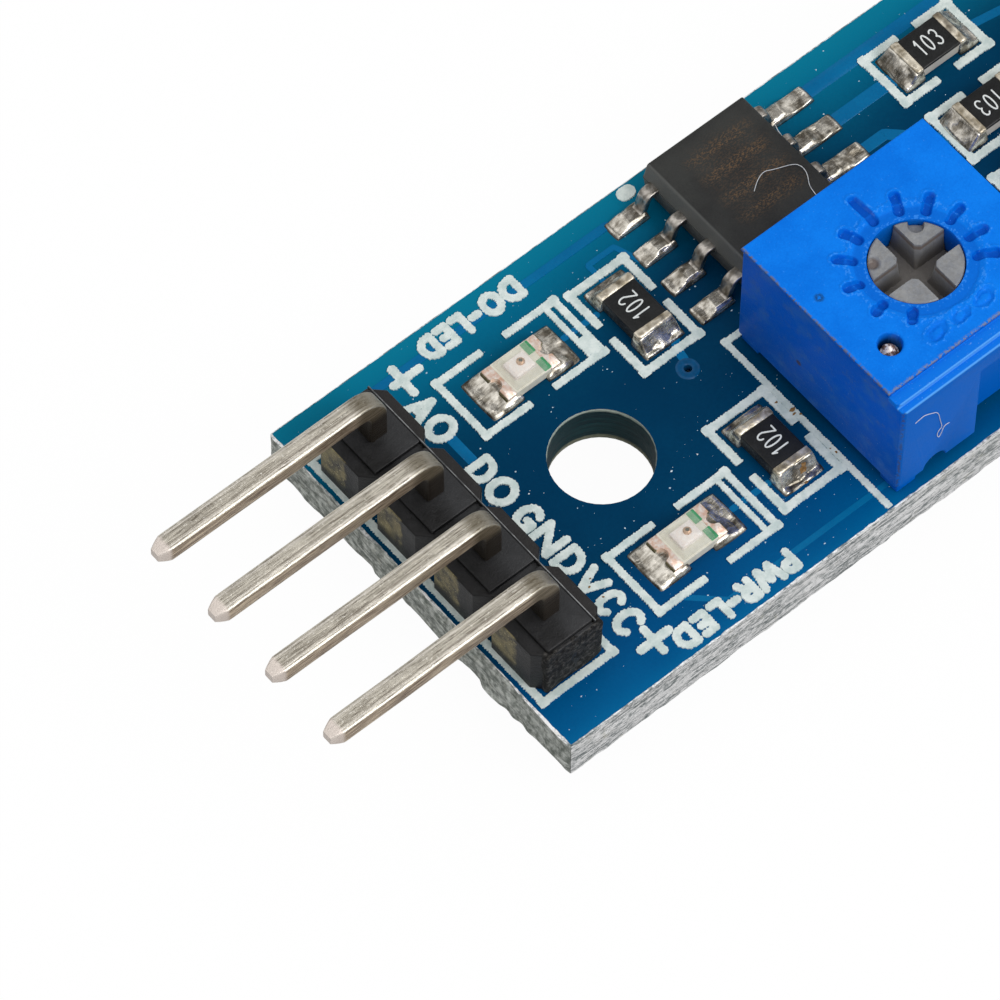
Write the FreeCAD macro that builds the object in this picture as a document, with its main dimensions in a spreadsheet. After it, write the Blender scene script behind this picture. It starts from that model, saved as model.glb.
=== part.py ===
import FreeCAD, Part
import Sketcher
import math
import os

os.makedirs("parts", exist_ok=True)

doc = FreeCAD.newDocument("light_sensor_module")
sheet = doc.addObject("Spreadsheet::Sheet", "Sizes")
NODES = []


class Size:
    """A length or an angle: its number now, and the sheet formula that gives it."""

    def __init__(self, number, formula):
        self.number = float(number)
        self.formula = formula

    def __add__(self, other):
        other = as_size(other)
        return Size(self.number + other.number, "(%s + %s)" % (self.formula, other.formula))

    def __sub__(self, other):
        other = as_size(other)
        return Size(self.number - other.number, "(%s - %s)" % (self.formula, other.formula))

    def __mul__(self, other):
        other = as_size(other)
        return Size(self.number * other.number, "(%s * %s)" % (self.formula, other.formula))

    def __truediv__(self, other):
        other = as_size(other)
        return Size(self.number / other.number, "(%s / %s)" % (self.formula, other.formula))

    def __radd__(self, other):
        return as_size(other) + self

    def __rsub__(self, other):
        return as_size(other) - self

    def __rmul__(self, other):
        return as_size(other) * self

    def __neg__(self):
        return Size(-self.number, "(0 - %s)" % self.formula)


def as_size(value):
    if isinstance(value, Size):
        return value
    return Size(value, repr(float(value)))


def root(value):
    """Square root of a size."""
    return Size(math.sqrt(value.number), "sqrt(%s)" % value.formula)


def size(alias, number, note):
    """Write one driving dimension to the sheet and return it."""
    row = size.row
    size.row = row + 1
    sheet.set("A%d" % row, note)
    sheet.set("B%d" % row, "%r" % float(number))
    sheet.setAlias("B%d" % row, alias)
    return Size(number, "Sizes." + alias)


size.row = 1
zero = Size(0.0, "0")

# Board. Its underside is the plane z = 0 and the mounting hole's centre is the origin.
board_length = size("board_length", 31.5, "board, along the row of parts")
board_width = size("board_width", 13.4, "board, across")
board_thick = size("board_thick", 1.6, "board, thickness of the laminate")
hole_edge = size("hole_edge", 6.84, "short edge to the mounting hole's centre")
hole_radius = size("hole_radius", 1.6, "mounting hole, radius")
via_radius = size("via_radius", 0.15, "plated via, radius")
via_x = size("via_x", 3.85, "via, along the board")
via_y = size("via_y", 0.65, "via, across the board")
tail_length = size("tail_length", 1.4, "lead tips, below the board's underside")
fit_gap = size("fit_gap", 0.01, "clearance of solder and holes round a lead")

# Pin header.
header_pitch = size("header_pitch", 2.54, "header, position to position")
header_x = size("header_x", -5.27, "header, row of pins along the board")
header_y = size("header_y", 0.15, "header, middle of the row across the board")
header_depth = size("header_depth", 2.48, "header plastic, along the board")
header_tall = size("header_tall", 2.05, "header plastic, middle bar's height")
header_side_tall = size("header_side_tall", 1.9, "header plastic, side bands' height")
header_band = size("header_band", 0.38, "header plastic, width of a side band")
header_notch = size("header_notch", 0.42, "header plastic, depth of the notch between positions")
pin_width = size("pin_width", 0.64, "header pin, side of the square wire")
pin_axis_tall = size("pin_axis_tall", 3.7, "header pin, middle of its free arm above the board")
pin_reach = size("pin_reach", 7.93, "header pin, row to tip")
pin_bend = size("pin_bend", 0.9, "header pin, outer radius of the bend")
pin_tip = size("pin_tip", 0.45, "header pin, length of the swaged tip")
pin_tip_width = size("pin_tip_width", 0.35, "header pin, side of the tip's end")
pin_hole_radius = size("pin_hole_radius", 0.5, "header pin, radius of the plated hole")
joint_radius = size("joint_radius", 0.9, "solder cone under a header pin, radius")
joint_tall = size("joint_tall", 0.7, "solder cone under a header pin, height")

# Comparator, an eight-lead small-outline package.
ic_x = size("ic_x", 8.72, "comparator, middle along the board")
ic_y = size("ic_y", 3.71, "comparator, middle across the board")
ic_wide = size("ic_wide", 3.9, "comparator body, along the board")
ic_long = size("ic_long", 4.9, "comparator body, across the board")
ic_bottom = size("ic_bottom", 0.12, "comparator body, clear of the board")
ic_tall = size("ic_tall", 1.45, "comparator body, thickness")
ic_draft = size("ic_draft", 7.0, "comparator body, draft of the mould in degrees")
ic_bevel = size("ic_bevel", 0.12, "comparator body, top edge bevel")
lead_pitch = size("lead_pitch", 1.27, "comparator leads, pitch")
lead_span = size("lead_span", 6.0, "comparator leads, tip to tip")
lead_wide = size("lead_wide", 0.42, "comparator lead, width")
lead_thick = size("lead_thick", 0.2, "comparator lead, thickness")
lead_foot = size("lead_foot", 0.62, "comparator lead, length of the foot")
lead_level = size("lead_level", 0.82, "comparator lead, where it leaves the body above the board")
lead_shoulder = size("lead_shoulder", 0.28, "comparator lead, straight part at the body")
lead_toe = size("lead_toe", 0.5, "solder in front of a comparator lead, length")
lead_solder_more = size("lead_solder_more", 0.12,
    "solder in front of a comparator lead, wider than the lead by this")
lead_solder_tall = size("lead_solder_tall", 0.16, "solder in front of a comparator lead, height")

# Trimming potentiometer.
trim_x = size("trim_x", 9.19, "trimmer, rotor's axis along the board")
trim_axis_shift = size("trim_axis_shift", 0.11, "trimmer, rotor's axis from the housing's middle, towards the sensor")
trim_y = size("trim_y", -2.96, "trimmer, middle across the board")
trim_long = size("trim_long", 6.95, "trimmer housing, along the board")
trim_wide = size("trim_wide", 7.05, "trimmer housing, across the board")
trim_tall = size("trim_tall", 4.88, "trimmer housing, height above the board")
trim_lift = size("trim_lift", 0.45, "trimmer housing, wall's lower edge above the board")
trim_ledge = size("trim_ledge", 0.66, "trimmer housing, width of the ledge beside the lid")
trim_ledge_drop = size("trim_ledge_drop", 0.3, "trimmer housing, ledge below the lid")
trim_round = size("trim_round", 0.12, "trimmer housing, rounding of its upright edges")
trim_lid = size("trim_lid", 1.25, "trimmer housing, thickness of the lid")
trim_wall = size("trim_wall", 0.7, "trimmer housing, wall beside the base")
trim_recess_deep = size("trim_recess_deep", 0.62, "trimmer housing, depth of the side recess")
trim_recess_long = size("trim_recess_long", 3.1, "trimmer housing, length of the side recess")
trim_recess_top = size("trim_recess_top", 0.75, "trimmer housing, recess below the ledge")
trim_foot = size("trim_foot", 0.85, "trimmer housing, side of a corner foot")
trim_notch = size("trim_notch", 0.42, "trimmer housing, radius of the half-round vent")
trim_notch_x = size("trim_notch_x", 1.45, "trimmer housing, corner to the vent's middle")
eye_edge_x = size("eye_edge_x", 1.145, "trimmer, eye in the lid, from the housing's nearer short side")
eye_edge_y = size("eye_edge_y", 1.905, "trimmer, eye in the lid, from the housing's ledge side")
trim_shaft_wall = size("trim_shaft_wall", 0.158,
    "trimmer housing, plastic between the chamber and the pin's channel")
eye_radius = size("eye_radius", 0.37, "trimmer, radius of the eye in the lid")
eye_deep = size("eye_deep", 0.62, "trimmer, depth of the eye in the lid")
ring_radius = size("ring_radius", 1.85, "trimmer, radius of the sunken ring round the rotor")
ring_deep = size("ring_deep", 0.07, "trimmer, depth of the sunken ring and marks")
tick_start = size("tick_start", 1.95, "trimmer, marks begin this far from the rotor's axis")
tick_long = size("tick_long", 0.5, "trimmer, length of a mark")
tick_wide = size("tick_wide", 0.28, "trimmer, width of a mark")
base_thick = size("base_thick", 0.6, "trimmer base, thickness")
element_thick = size("element_thick", 0.2, "trimmer element, thickness")
element_edge = size("element_edge", 0.17, "trimmer element, chamber's wall to its outer edge")
element_wide = size("element_wide", 0.9, "trimmer element, width of the track")
element_gap_shift = size("element_gap_shift", 0.3,
    "trimmer element, gap's middle beyond half the outer radius")
wiper_gap = size("wiper_gap", 0.05, "wiper above the element")
wiper_thick = size("wiper_thick", 0.15, "wiper, thickness")
wiper_short = size("wiper_short", 0.15, "wiper, contact inside the element's outer edge")
rotor_radius = size("rotor_radius", 1.39, "rotor, radius of the head in the lid")
rotor_gap = size("rotor_gap", 0.04, "running clearance round the rotor")
rotor_sink = size("rotor_sink", 0.10, "rotor, head's rim below the lid")
slot_width = size("slot_width", 0.66, "rotor, width of the cross slot")
slot_deep = size("slot_deep", 0.95, "rotor, depth of the cross slot")
slot_notch = size("slot_notch", 0.25, "rotor, radius of the notch in the rim")
slot_dimple = size("slot_dimple", 0.16, "rotor, radius of the dimple")
slot_tip = size("slot_tip", 0.57, "rotor, axis to the square end of a wedge")
dimple_deep = size("dimple_deep", 0.08, "rotor, depth of the dimple")
trim_pin_radius = size("trim_pin_radius", 0.25, "trimmer pin, radius")
trim_pin_collar = size("trim_pin_collar", 0.42, "trimmer pin, radius of its collar")
trim_pin_hole = size("trim_pin_hole", 0.42, "trimmer pin, radius of the plated hole")
trim_mid_edge = size("trim_mid_edge", 1.625, "trimmer, middle pin from the housing's plain side")
small_joint = size("small_joint", 0.75, "solder cone under a round lead, radius")
small_joint_tall = size("small_joint_tall", 0.6, "solder cone under a round lead, height")
small_hole_lip = size("small_hole_lip", 0.12, "plated hole, clear round a sensor lead")
trim_west = -trim_long / 2 - trim_axis_shift
trim_east = trim_long / 2 - trim_axis_shift
eye_x = trim_west + eye_edge_x
pin_far_x = trim_east - eye_edge_x
eye_y = eye_edge_y - trim_wide / 2
trim_mid_y = trim_wide / 2 - trim_mid_edge
trim_chamber = root(eye_x * eye_x + eye_y * eye_y) - trim_pin_radius - fit_gap - trim_shaft_wall
element_outer = trim_chamber - element_edge
element_inner = element_outer - element_wide
wiper_radius = element_outer - wiper_short

# Chip resistors, and the chip capacitor of the same size.
chip_long = size("chip_long", 2.0, "chip, length")
chip_wide = size("chip_wide", 1.25, "chip, width")
chip_tall = size("chip_tall", 0.5, "chip resistor, height over its caps")
chip_cap = size("chip_cap", 0.32, "chip, length of an end cap")
chip_glaze = size("chip_glaze", 0.015, "chip resistor, black glaze below the caps' top")
chip_skin = size("chip_skin", 0.04, "chip, thickness of an end cap")
chip_toe = size("chip_toe", 0.42, "solder in front of a chip, length")
chip_solder_more = size("chip_solder_more", 0.16, "solder in front of a chip, wider than the chip by this")
chip_solder_tall = size("chip_solder_tall", 0.36, "solder in front of a chip, height")
pad_level = size("pad_level", 0.04, "copper pad and solder film under a chip")
res_near_x = size("res_near_x", 3.84, "first resistor, along the board")
res_near_y = size("res_near_y", 3.05, "first resistor, across the board")
res_low_x = size("res_low_x", 3.92, "second resistor, along the board")
res_low_y = size("res_low_y", -3.0, "second resistor, across the board")
res_far_x = size("res_far_x", 16.5, "third and fourth resistors, along the board")
res_far_y = size("res_far_y", 4.44, "third resistor, across the board")
res_step = size("res_step", 2.77, "third resistor to the fourth, and on to the capacitor")
cap_tall = size("cap_tall", 0.85, "chip capacitor, height")

# Indicator LEDs.
led_x = size("led_x", 0.02, "LEDs, along the board")
led_high_y = size("led_high_y", 3.65, "first LED, across the board")
led_low_y = size("led_low_y", -3.75, "second LED, across the board")
led_base_tall = size("led_base_tall", 0.32, "LED, thickness of the base")
led_lens_long = size("led_lens_long", 1.24, "LED lens, length at its foot")
led_lens_wide = size("led_lens_wide", 1.16, "LED lens, width")
led_lens_tall = size("led_lens_tall", 0.48, "LED lens, height")
led_lens_slope = size("led_lens_slope", 0.12, "LED lens, how far each end leans in")
led_bite = size("led_bite", 0.22, "LED terminal, radius of the half-round bite")
led_cap = size("led_cap", 0.34, "LED terminal, length")

# Light-dependent resistor.
sensor_x = size("sensor_x", 21.9, "sensor, along the board")
sensor_radius = size("sensor_radius", 2.55, "sensor disc, radius")
sensor_flat = size("sensor_flat", 4.3, "sensor disc, across its flats")
sensor_thick = size("sensor_thick", 1.9, "sensor disc, thickness")
sensor_lift = size("sensor_lift", 2.6, "sensor disc, clear of the board")
sensor_spread = size("sensor_spread", 3.4, "sensor leads, spacing")
sensor_wire = size("sensor_wire", 0.25, "sensor lead, radius")
track_wide = size("track_wide", 0.34, "sensor track, width of one run")
track_pitch = size("track_pitch", 0.68, "sensor track, run to run")
track_thick = size("track_thick", 0.06, "sensor track, thickness")

top = board_thick


def plane(body, role):
    for feature in body.Origin.OriginFeatures:
        if feature.Role == role:
            return feature
    raise RuntimeError("no plane " + role)


def sketch(body, role, level, name):
    """A sketch on one of the body's own origin planes, moved along its normal."""
    item = body.newObject("Sketcher::SketchObject", name)
    item.AttachmentSupport = [(plane(body, role), "")]
    item.MapMode = "FlatFace"
    level = as_size(level)
    item.setExpression(".AttachmentOffset.Base.z", level.formula)
    item.AttachmentOffset = FreeCAD.Placement(FreeCAD.Vector(0, 0, level.number), FreeCAD.Rotation())
    return item


def pin_point(item, index, place, across, along):
    """Hold one point of a sketch at two sheet sizes."""
    for kind, value in (("DistanceX", across), ("DistanceY", along)):
        rule = Sketcher.Constraint(kind, -1, 1, index, place, value.number)
        number = item.addConstraint(rule)
        item.setExpression("Constraints[%d]" % number, value.formula)


def polygon(item, corners):
    """A closed outline through corners, each a pair of sizes."""
    corners = [(as_size(a), as_size(b)) for a, b in corners]
    first = item.GeometryCount
    count = len(corners)
    for index in range(count):
        a, b = corners[index]
        c, d = corners[(index + 1) % count]
        start = FreeCAD.Vector(a.number, b.number, 0)
        end = FreeCAD.Vector(c.number, d.number, 0)
        item.addGeometry(Part.LineSegment(start, end), False)
    for index in range(count):
        after = first + (index + 1) % count
        item.addConstraint(Sketcher.Constraint("Coincident", first + index, 2, after, 1))
    for index in range(count):
        pin_point(item, first + index, 1, corners[index][0], corners[index][1])


def rectangle(item, low_x, high_x, low_y, high_y):
    polygon(item, [(low_x, low_y), (high_x, low_y), (high_x, high_y), (low_x, high_y)])


def bevelled(item, low_x, high_x, low_y, high_y, bevel):
    """A rectangle whose four corners are cut off."""
    polygon(item, [
        (low_x + bevel, low_y), (high_x - bevel, low_y), (high_x, low_y + bevel), (high_x, high_y - bevel),
        (high_x - bevel, high_y), (low_x + bevel, high_y), (low_x, high_y - bevel), (low_x, low_y + bevel)])


def circle(item, across, along, radius):
    across = as_size(across)
    along = as_size(along)
    centre = FreeCAD.Vector(across.number, along.number, 0)
    index = item.addGeometry(Part.Circle(centre, FreeCAD.Vector(0, 0, 1), radius.number), False)
    pin_point(item, index, 3, across, along)
    number = item.addConstraint(Sketcher.Constraint("Radius", index, radius.number))
    item.setExpression("Constraints[%d]" % number, radius.formula)


def pad(body, profile, length, name, both=False, back=False):
    item = body.newObject("PartDesign::Pad", name)
    item.Profile = profile
    item.Type = 0
    length = as_size(length)
    item.Length = length.number
    item.setExpression("Length", length.formula)
    if both:
        item.SideType = "Symmetric"
    item.Reversed = back
    profile.Visibility = False
    doc.recompute()
    return item


def pocket(body, profile, length, name, back=False):
    """Cut a profile into the body and make sure that something went."""
    before = body.Shape.Volume
    item = body.newObject("PartDesign::Pocket", name)
    item.Profile = profile
    length = as_size(length)
    item.Length = length.number
    item.setExpression("Length", length.formula)
    item.Reversed = back
    profile.Visibility = False
    doc.recompute()
    if not body.Shape.Volume < before - 1e-7:
        raise RuntimeError(name + " cut nothing")
    return item


def new_body(label):
    body = doc.addObject("PartDesign::Body", label)
    body.Label = label
    return body


def node(item, label):
    item.Label = label
    NODES.append(item)
    return item


def place(item, across, along, up):
    """Put an object at three sizes."""
    values = (("x", across), ("y", along), ("z", up))
    for axis, value in values:
        value = as_size(value)
        item.setExpression(".Placement.Base." + axis, value.formula)
    return item


def box(name, long, wide, tall, across, along, up):
    """A box centred on across and along, standing on up."""
    item = doc.addObject("Part::Box", name)
    long, wide, tall = as_size(long), as_size(wide), as_size(tall)
    item.setExpression("Length", long.formula)
    item.setExpression("Width", wide.formula)
    item.setExpression("Height", tall.formula)
    return place(item, across - long / 2, along - wide / 2, up)


def rod(name, radius, tall, across, along, up):
    """An upright cylinder standing on up."""
    item = doc.addObject("Part::Cylinder", name)
    radius, tall = as_size(radius), as_size(tall)
    item.setExpression("Radius", radius.formula)
    item.setExpression("Height", tall.formula)
    return place(item, across, along, up)


def taper(name, low, high, upper_low, upper_high, bottom, tall):
    """An upright block from the base rectangle low to high up to the rectangle upper_low to upper_high."""
    item = doc.addObject("Part::Wedge", name)
    values = (
        ("Xmin", low[0]), ("Xmax", high[0]), ("Zmin", -high[1]), ("Zmax", -low[1]),
        ("X2min", upper_low[0]), ("X2max", upper_high[0]),
        ("Z2min", -upper_high[1]), ("Z2max", -upper_low[1]),
        ("Ymin", zero), ("Ymax", tall))
    for property_name, value in values:
        value = as_size(value)
        setattr(item, property_name, value.number)
        item.setExpression(property_name, value.formula)
    bottom = as_size(bottom)
    turn = FreeCAD.Rotation(FreeCAD.Vector(1, 0, 0), 90)
    item.Placement = FreeCAD.Placement(FreeCAD.Vector(0, 0, bottom.number), turn)
    item.setExpression(".Placement.Base.z", bottom.formula)
    return item


def frustum(name, radius, end_radius, tall, across, along, up):
    item = doc.addObject("Part::Cone", name)
    for name_of, value in (("Radius1", radius), ("Radius2", end_radius), ("Height", tall)):
        value = as_size(value)
        item.setExpression(name_of, value.formula)
    return place(item, across, along, up)


def cut(name, base, tool):
    item = doc.addObject("Part::Cut", name)
    item.Base = base
    item.Tool = tool
    return item


def fuse(name, shapes):
    item = doc.addObject("Part::MultiFuse", name)
    item.Shapes = shapes
    return item


def group(name, shapes):
    """Several loose solids of one kind kept as one sub-part."""
    item = doc.addObject("Part::Compound", name)
    item.Links = shapes
    return item


def round_edge(body, across, up, radius, name):
    """Fillet the edge that runs across the board at one place of the side view."""
    found = []
    for number, edge in enumerate(body.Shape.Edges):
        points = [vertex.Point for vertex in edge.Vertexes]
        if len(points) != 2:
            continue
        if all(abs(p.x - across.number) < 1e-6 and abs(p.z - up.number) < 1e-6 for p in points):
            found.append("Edge%d" % (number + 1))
    base = body.Tip
    item = body.newObject("PartDesign::Fillet", name)
    item.Base = (base, found)
    item.Radius = radius.number
    item.setExpression("Radius", radius.formula)
    doc.recompute()
    return item


pin_rows = [header_y + header_pitch * (1.5 - index) for index in range(4)]
pin_mid_x = trim_x - trim_axis_shift
trim_pins = [(trim_x + eye_x, trim_y + eye_y), (pin_mid_x, trim_y + trim_mid_y),
    (trim_x + pin_far_x, trim_y + eye_y)]
sensor_leads = [sensor_spread / 2, -sensor_spread / 2]

# Circuit board, drilled for the screw, the header, the trimmer, the sensor and one via.
board = new_body("circuit_board")
outline = sketch(board, "XY_Plane", zero, "BoardOutline")
rectangle(outline, -hole_edge, board_length - hole_edge, -board_width / 2, board_width / 2)
pad(board, outline, board_thick, "BoardPad")
drill = sketch(board, "XY_Plane", board_thick, "BoardHoles")
circle(drill, zero, zero, hole_radius)
for row in pin_rows:
    circle(drill, header_x, row, pin_hole_radius)
for across, along in trim_pins:
    circle(drill, across, along, trim_pin_hole)
for along in sensor_leads:
    circle(drill, sensor_x, along, sensor_wire + small_hole_lip)
circle(drill, via_x, via_y, via_radius)
pocket(board, drill, board_thick, "BoardDrill")
node(board, "circuit_board")

# Header plastic: four eight-sided blocks joined in a strip, with a raised middle bar.
header = new_body("header_body")
strip_low = header_y - header_pitch * 2
half_deep = header_depth / 2
outline = sketch(header, "XY_Plane", top, "HeaderOutline")
right_side = []
left_side = []
for index in range(4):
    low = strip_low + header_pitch * index
    high = low + header_pitch
    right_side.append((header_x + half_deep - header_notch, low))
    right_side.append((header_x + half_deep, low + header_notch))
    right_side.append((header_x + half_deep, high - header_notch))
    left_side.append((header_x - half_deep + header_notch, low))
    left_side.append((header_x - half_deep, low + header_notch))
    left_side.append((header_x - half_deep, high - header_notch))
strip_high = strip_low + header_pitch * 4
right_side.append((header_x + half_deep - header_notch, strip_high))
left_side.append((header_x - half_deep + header_notch, strip_high))
polygon(outline, right_side + left_side[::-1])
pad(header, outline, header_side_tall, "HeaderPad")
bar = sketch(header, "XY_Plane", top + header_side_tall, "HeaderBar")
bar_edge = half_deep - header_band
bar_low = strip_low + header_notch * 0.1
rectangle(bar, header_x - bar_edge, header_x + bar_edge, bar_low, strip_high - header_notch * 0.1)
pad(header, bar, header_tall - header_side_tall, "HeaderBarPad")
grooves = sketch(header, "XY_Plane", top + header_tall, "HeaderGrooves")
for index in range(1, 4):
    middle = strip_low + header_pitch * index
    edge = header_x + half_deep
    rectangle(grooves, header_x - half_deep, edge, middle - header_notch / 5, middle + header_notch / 5)
pocket(header, grooves, header_tall - header_side_tall + header_notch / 4, "HeaderGrooveCut")
holes = sketch(header, "XY_Plane", top + header_tall, "HeaderHoles")
half_pin = pin_width / 2
for row in pin_rows:
    rectangle(holes, header_x - half_pin, header_x + half_pin, row - half_pin, row + half_pin)
pocket(header, holes, header_tall, "HeaderHoleCut")
node(header, "header_body")

# Header pins: one square wire each, up through the plastic, round the bend and out over the board's edge.
arm_low = top + pin_axis_tall - half_pin
arm_high = top + pin_axis_tall + half_pin
half_tip = pin_tip_width / 2
inner_bend = pin_bend - pin_width
for index, row in enumerate(pin_rows):
    label = "header_pin_%d" % (index + 1)
    body = new_body(label)
    side = sketch(body, "XZ_Plane", -row, label + "_side")
    polygon(side, [
        (header_x - half_tip, -tail_length),
        (header_x + half_tip, -tail_length),
        (header_x + half_pin, -tail_length + pin_tip),
        (header_x + half_pin, arm_high),
        (header_x - pin_reach + pin_tip, arm_high),
        (header_x - pin_reach, top + pin_axis_tall + half_tip),
        (header_x - pin_reach, top + pin_axis_tall - half_tip),
        (header_x - pin_reach + pin_tip, arm_low),
        (header_x - half_pin, arm_low),
        (header_x - half_pin, -tail_length + pin_tip)])
    pad(body, side, pin_width, label + "_wire", both=True)
    round_edge(body, header_x + half_pin, arm_high, pin_bend, label + "_outer")
    round_edge(body, header_x - half_pin, arm_low, inner_bend, label + "_inner")
    # The swaged ends narrow across the board too.
    shrink = (pin_width - pin_tip_width) / 2
    reach_end = header_x - pin_reach
    flats = sketch(body, "XY_Plane", arm_high, label + "_flats")
    for sign in (1, -1):
        polygon(flats, [
            (reach_end - fit_gap, row + half_pin * sign - shrink * sign),
            (reach_end, row + half_pin * sign - shrink * sign),
            (reach_end + pin_tip, row + half_pin * sign),
            (reach_end + pin_tip, row + (half_pin + fit_gap) * sign),
            (reach_end - fit_gap, row + (half_pin + fit_gap) * sign)])
    pocket(body, flats, pin_width, label + "_tip")
    ends = sketch(body, "YZ_Plane", header_x + half_pin, label + "_ends")
    for sign in (1, -1):
        polygon(ends, [
            (row + half_pin * sign - shrink * sign, -tail_length - fit_gap),
            (row + half_pin * sign - shrink * sign, -tail_length),
            (row + half_pin * sign, -tail_length + pin_tip),
            (row + (half_pin + fit_gap) * sign, -tail_length + pin_tip),
            (row + (half_pin + fit_gap) * sign, -tail_length - fit_gap)])
    pocket(body, ends, pin_width, label + "_tail")
    node(body, label)


def cone_joint(name, foot, crown, tall, across, along, core):
    """A cone of solder under the board, with room for the lead that stands in it."""
    cone = frustum(name + "_cone", crown, foot, tall, across, along, -tall)
    return cut(name, cone, core)


def solder_toe(name, end, along, sign, reach, wide, tall, under, turned=False):
    """A film of solder under a terminal and the fillet in front of it; sign says which way it points."""
    near = end - under * sign
    far = end + reach * sign
    crest = end + reach * (0.3 * sign)
    film_low, film_high = (near, far) if sign > 0 else (far, near)
    foot_left, foot_right = (end, far) if sign > 0 else (far, end)
    top_left, top_right = (end, crest) if sign > 0 else (crest, end)
    half = wide / 2
    upper = half * 0.8
    corners = [
        (film_low, along - half), (film_high, along + half),
        (foot_left, along - half), (foot_right, along + half),
        (top_left, along - upper), (top_right, along + upper)]
    if turned:
        corners = [
            (along - half, film_low), (along + half, film_high),
            (along - half, foot_left), (along + half, foot_right),
            (along - upper, top_left), (along + upper, top_right)]
    film = taper(name + "_film", corners[0], corners[1], corners[0], corners[1], top, pad_level)
    toe = taper(name + "_toe", corners[2], corners[3], corners[4], corners[5], top + pad_level, tall)
    return fuse(name, [film, toe])


joints = []
clear = pin_width + fit_gap * 2
for index, row in enumerate(pin_rows):
    name = "header_joint_%d" % (index + 1)
    core = box(name + "_core", clear, clear, joint_tall * 2, header_x, row, -joint_tall * 1.5)
    joints.append(cone_joint(name, joint_radius, pin_hole_radius, joint_tall, header_x, row, core))
node(group("HeaderSolder", joints), "header_solder")

# Comparator body: two drafted halves that meet at the level of the leads.
comparator = new_body("comparator_body")
parting = top + lead_level
drafts = (("Upper", ic_tall + ic_bottom - lead_level, False), ("Lower", lead_level - ic_bottom, True))
for part_name, tall, back in drafts:
    outline = sketch(comparator, "XY_Plane", parting, "Comparator" + part_name)
    rectangle(outline, ic_x - ic_wide / 2, ic_x + ic_wide / 2, ic_y - ic_long / 2, ic_y + ic_long / 2)
    half = pad(comparator, outline, tall, "Comparator" + part_name + "Pad", back=back)
    half.TaperAngle = -ic_draft.number
    half.setExpression("TaperAngle", (-ic_draft).formula)
    doc.recompute()
crown = top + ic_bottom + ic_tall
rim = []
for number, edge in enumerate(comparator.Shape.Edges):
    if all(abs(vertex.Point.z - crown.number) < 1e-6 for vertex in edge.Vertexes):
        rim.append("Edge%d" % (number + 1))
bevel = comparator.newObject("PartDesign::Chamfer", "ComparatorBevel")
bevel.Base = (half, rim)
bevel.Size = ic_bevel.number
bevel.setExpression("Size", ic_bevel.formula)
doc.recompute()
node(comparator, "comparator_body")

# Comparator leads: flat metal that leaves the body, drops and ends in a foot on the pad.
foot_low = top + pad_level
foot_high = foot_low + lead_thick
root_low = parting - lead_thick / 2
root_high = parting + lead_thick / 2
toes = []
lead_number = 0
for sign in (-1, 1):
    order = range(4) if sign < 0 else range(3, -1, -1)
    for index in order:
        lead_number = lead_number + 1
        along = ic_y + lead_pitch * (1.5 - index)
        label = "comparator_lead_%d" % lead_number
        body = new_body(label)
        side = sketch(body, "XZ_Plane", -along, label + "_side")
        root = ic_x + ic_wide / 2 * sign
        tip = ic_x + lead_span / 2 * sign
        bend = root + lead_shoulder * sign
        heel = tip - lead_foot * sign
        slant = lead_thick * 0.9 * sign
        polygon(side, [
            (root, root_low),
            (root, root_high),
            (bend + slant * 0.6, root_high),
            (heel + slant, foot_high),
            (tip, foot_high),
            (tip, foot_low),
            (heel, foot_low),
            (bend, root_low)])
        pad(body, side, lead_wide, label + "_strip", both=True)
        node(body, label)
        name = "lead_joint_%d" % lead_number
        toes.append(solder_toe(name, tip, along, sign, lead_toe, lead_wide + lead_solder_more,
            lead_solder_tall, lead_foot))
node(group("ComparatorSolder", toes), "comparator_solder")

# Trimmer housing, drawn round the rotor's axis with the board's top as its floor.
housing = new_body("trimmer_housing")
half_wide = trim_wide / 2
ledge_level = trim_tall - trim_ledge_drop
block = sketch(housing, "XY_Plane", trim_lift, "HousingBlock")
bevelled(block, trim_west, trim_east, -half_wide, half_wide, trim_round)
pad(housing, block, ledge_level - trim_lift, "HousingBlockPad")
lip = sketch(housing, "XY_Plane", ledge_level, "HousingLip")
bevelled(lip, trim_west, trim_east, -half_wide + trim_ledge * 0.38, half_wide, trim_round)
pad(housing, lip, trim_ledge_drop * 0.45, "HousingLipPad")
lid = sketch(housing, "XY_Plane", ledge_level, "HousingLid")
bevelled(lid, trim_west, trim_east, -half_wide + trim_ledge, half_wide, trim_round)
pad(housing, lid, trim_ledge_drop, "HousingLidPad")
feet = sketch(housing, "XY_Plane", trim_lift, "HousingFeet")
for sign_x in (-1, 1):
    for sign_y in (-1, 1):
        end_x = trim_west if sign_x < 0 else trim_east
        xs = sorted([end_x, end_x - trim_foot * sign_x], key=lambda value: value.number)
        ys = sorted([half_wide * sign_y, (half_wide - trim_foot) * sign_y], key=lambda value: value.number)
        inset = trim_round
        low_x = xs[0] + inset if sign_x < 0 else xs[0]
        high_x = xs[1] if sign_x < 0 else xs[1] - inset
        low_y = ys[0] + inset if sign_y < 0 else ys[0]
        high_y = ys[1] if sign_y < 0 else ys[1] - inset
        rectangle(feet, low_x, high_x, low_y, high_y)
pad(housing, feet, trim_lift, "HousingFeetPad", back=True)
recess = sketch(housing, "XY_Plane", ledge_level - trim_recess_top, "HousingRecess")
recess_high = trim_east - trim_foot
rectangle(recess, recess_high - trim_recess_long, recess_high, -half_wide - fit_gap,
    -half_wide + trim_recess_deep)
pocket(housing, recess, ledge_level, "HousingRecessCut")
vent = sketch(housing, "XZ_Plane", half_wide, "HousingVent")
circle(vent, trim_west + trim_notch_x, trim_lift, trim_notch)
pocket(housing, vent, trim_wall, "HousingVentCut")
seat = sketch(housing, "XY_Plane", trim_lift + base_thick, "HousingSeat")
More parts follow.
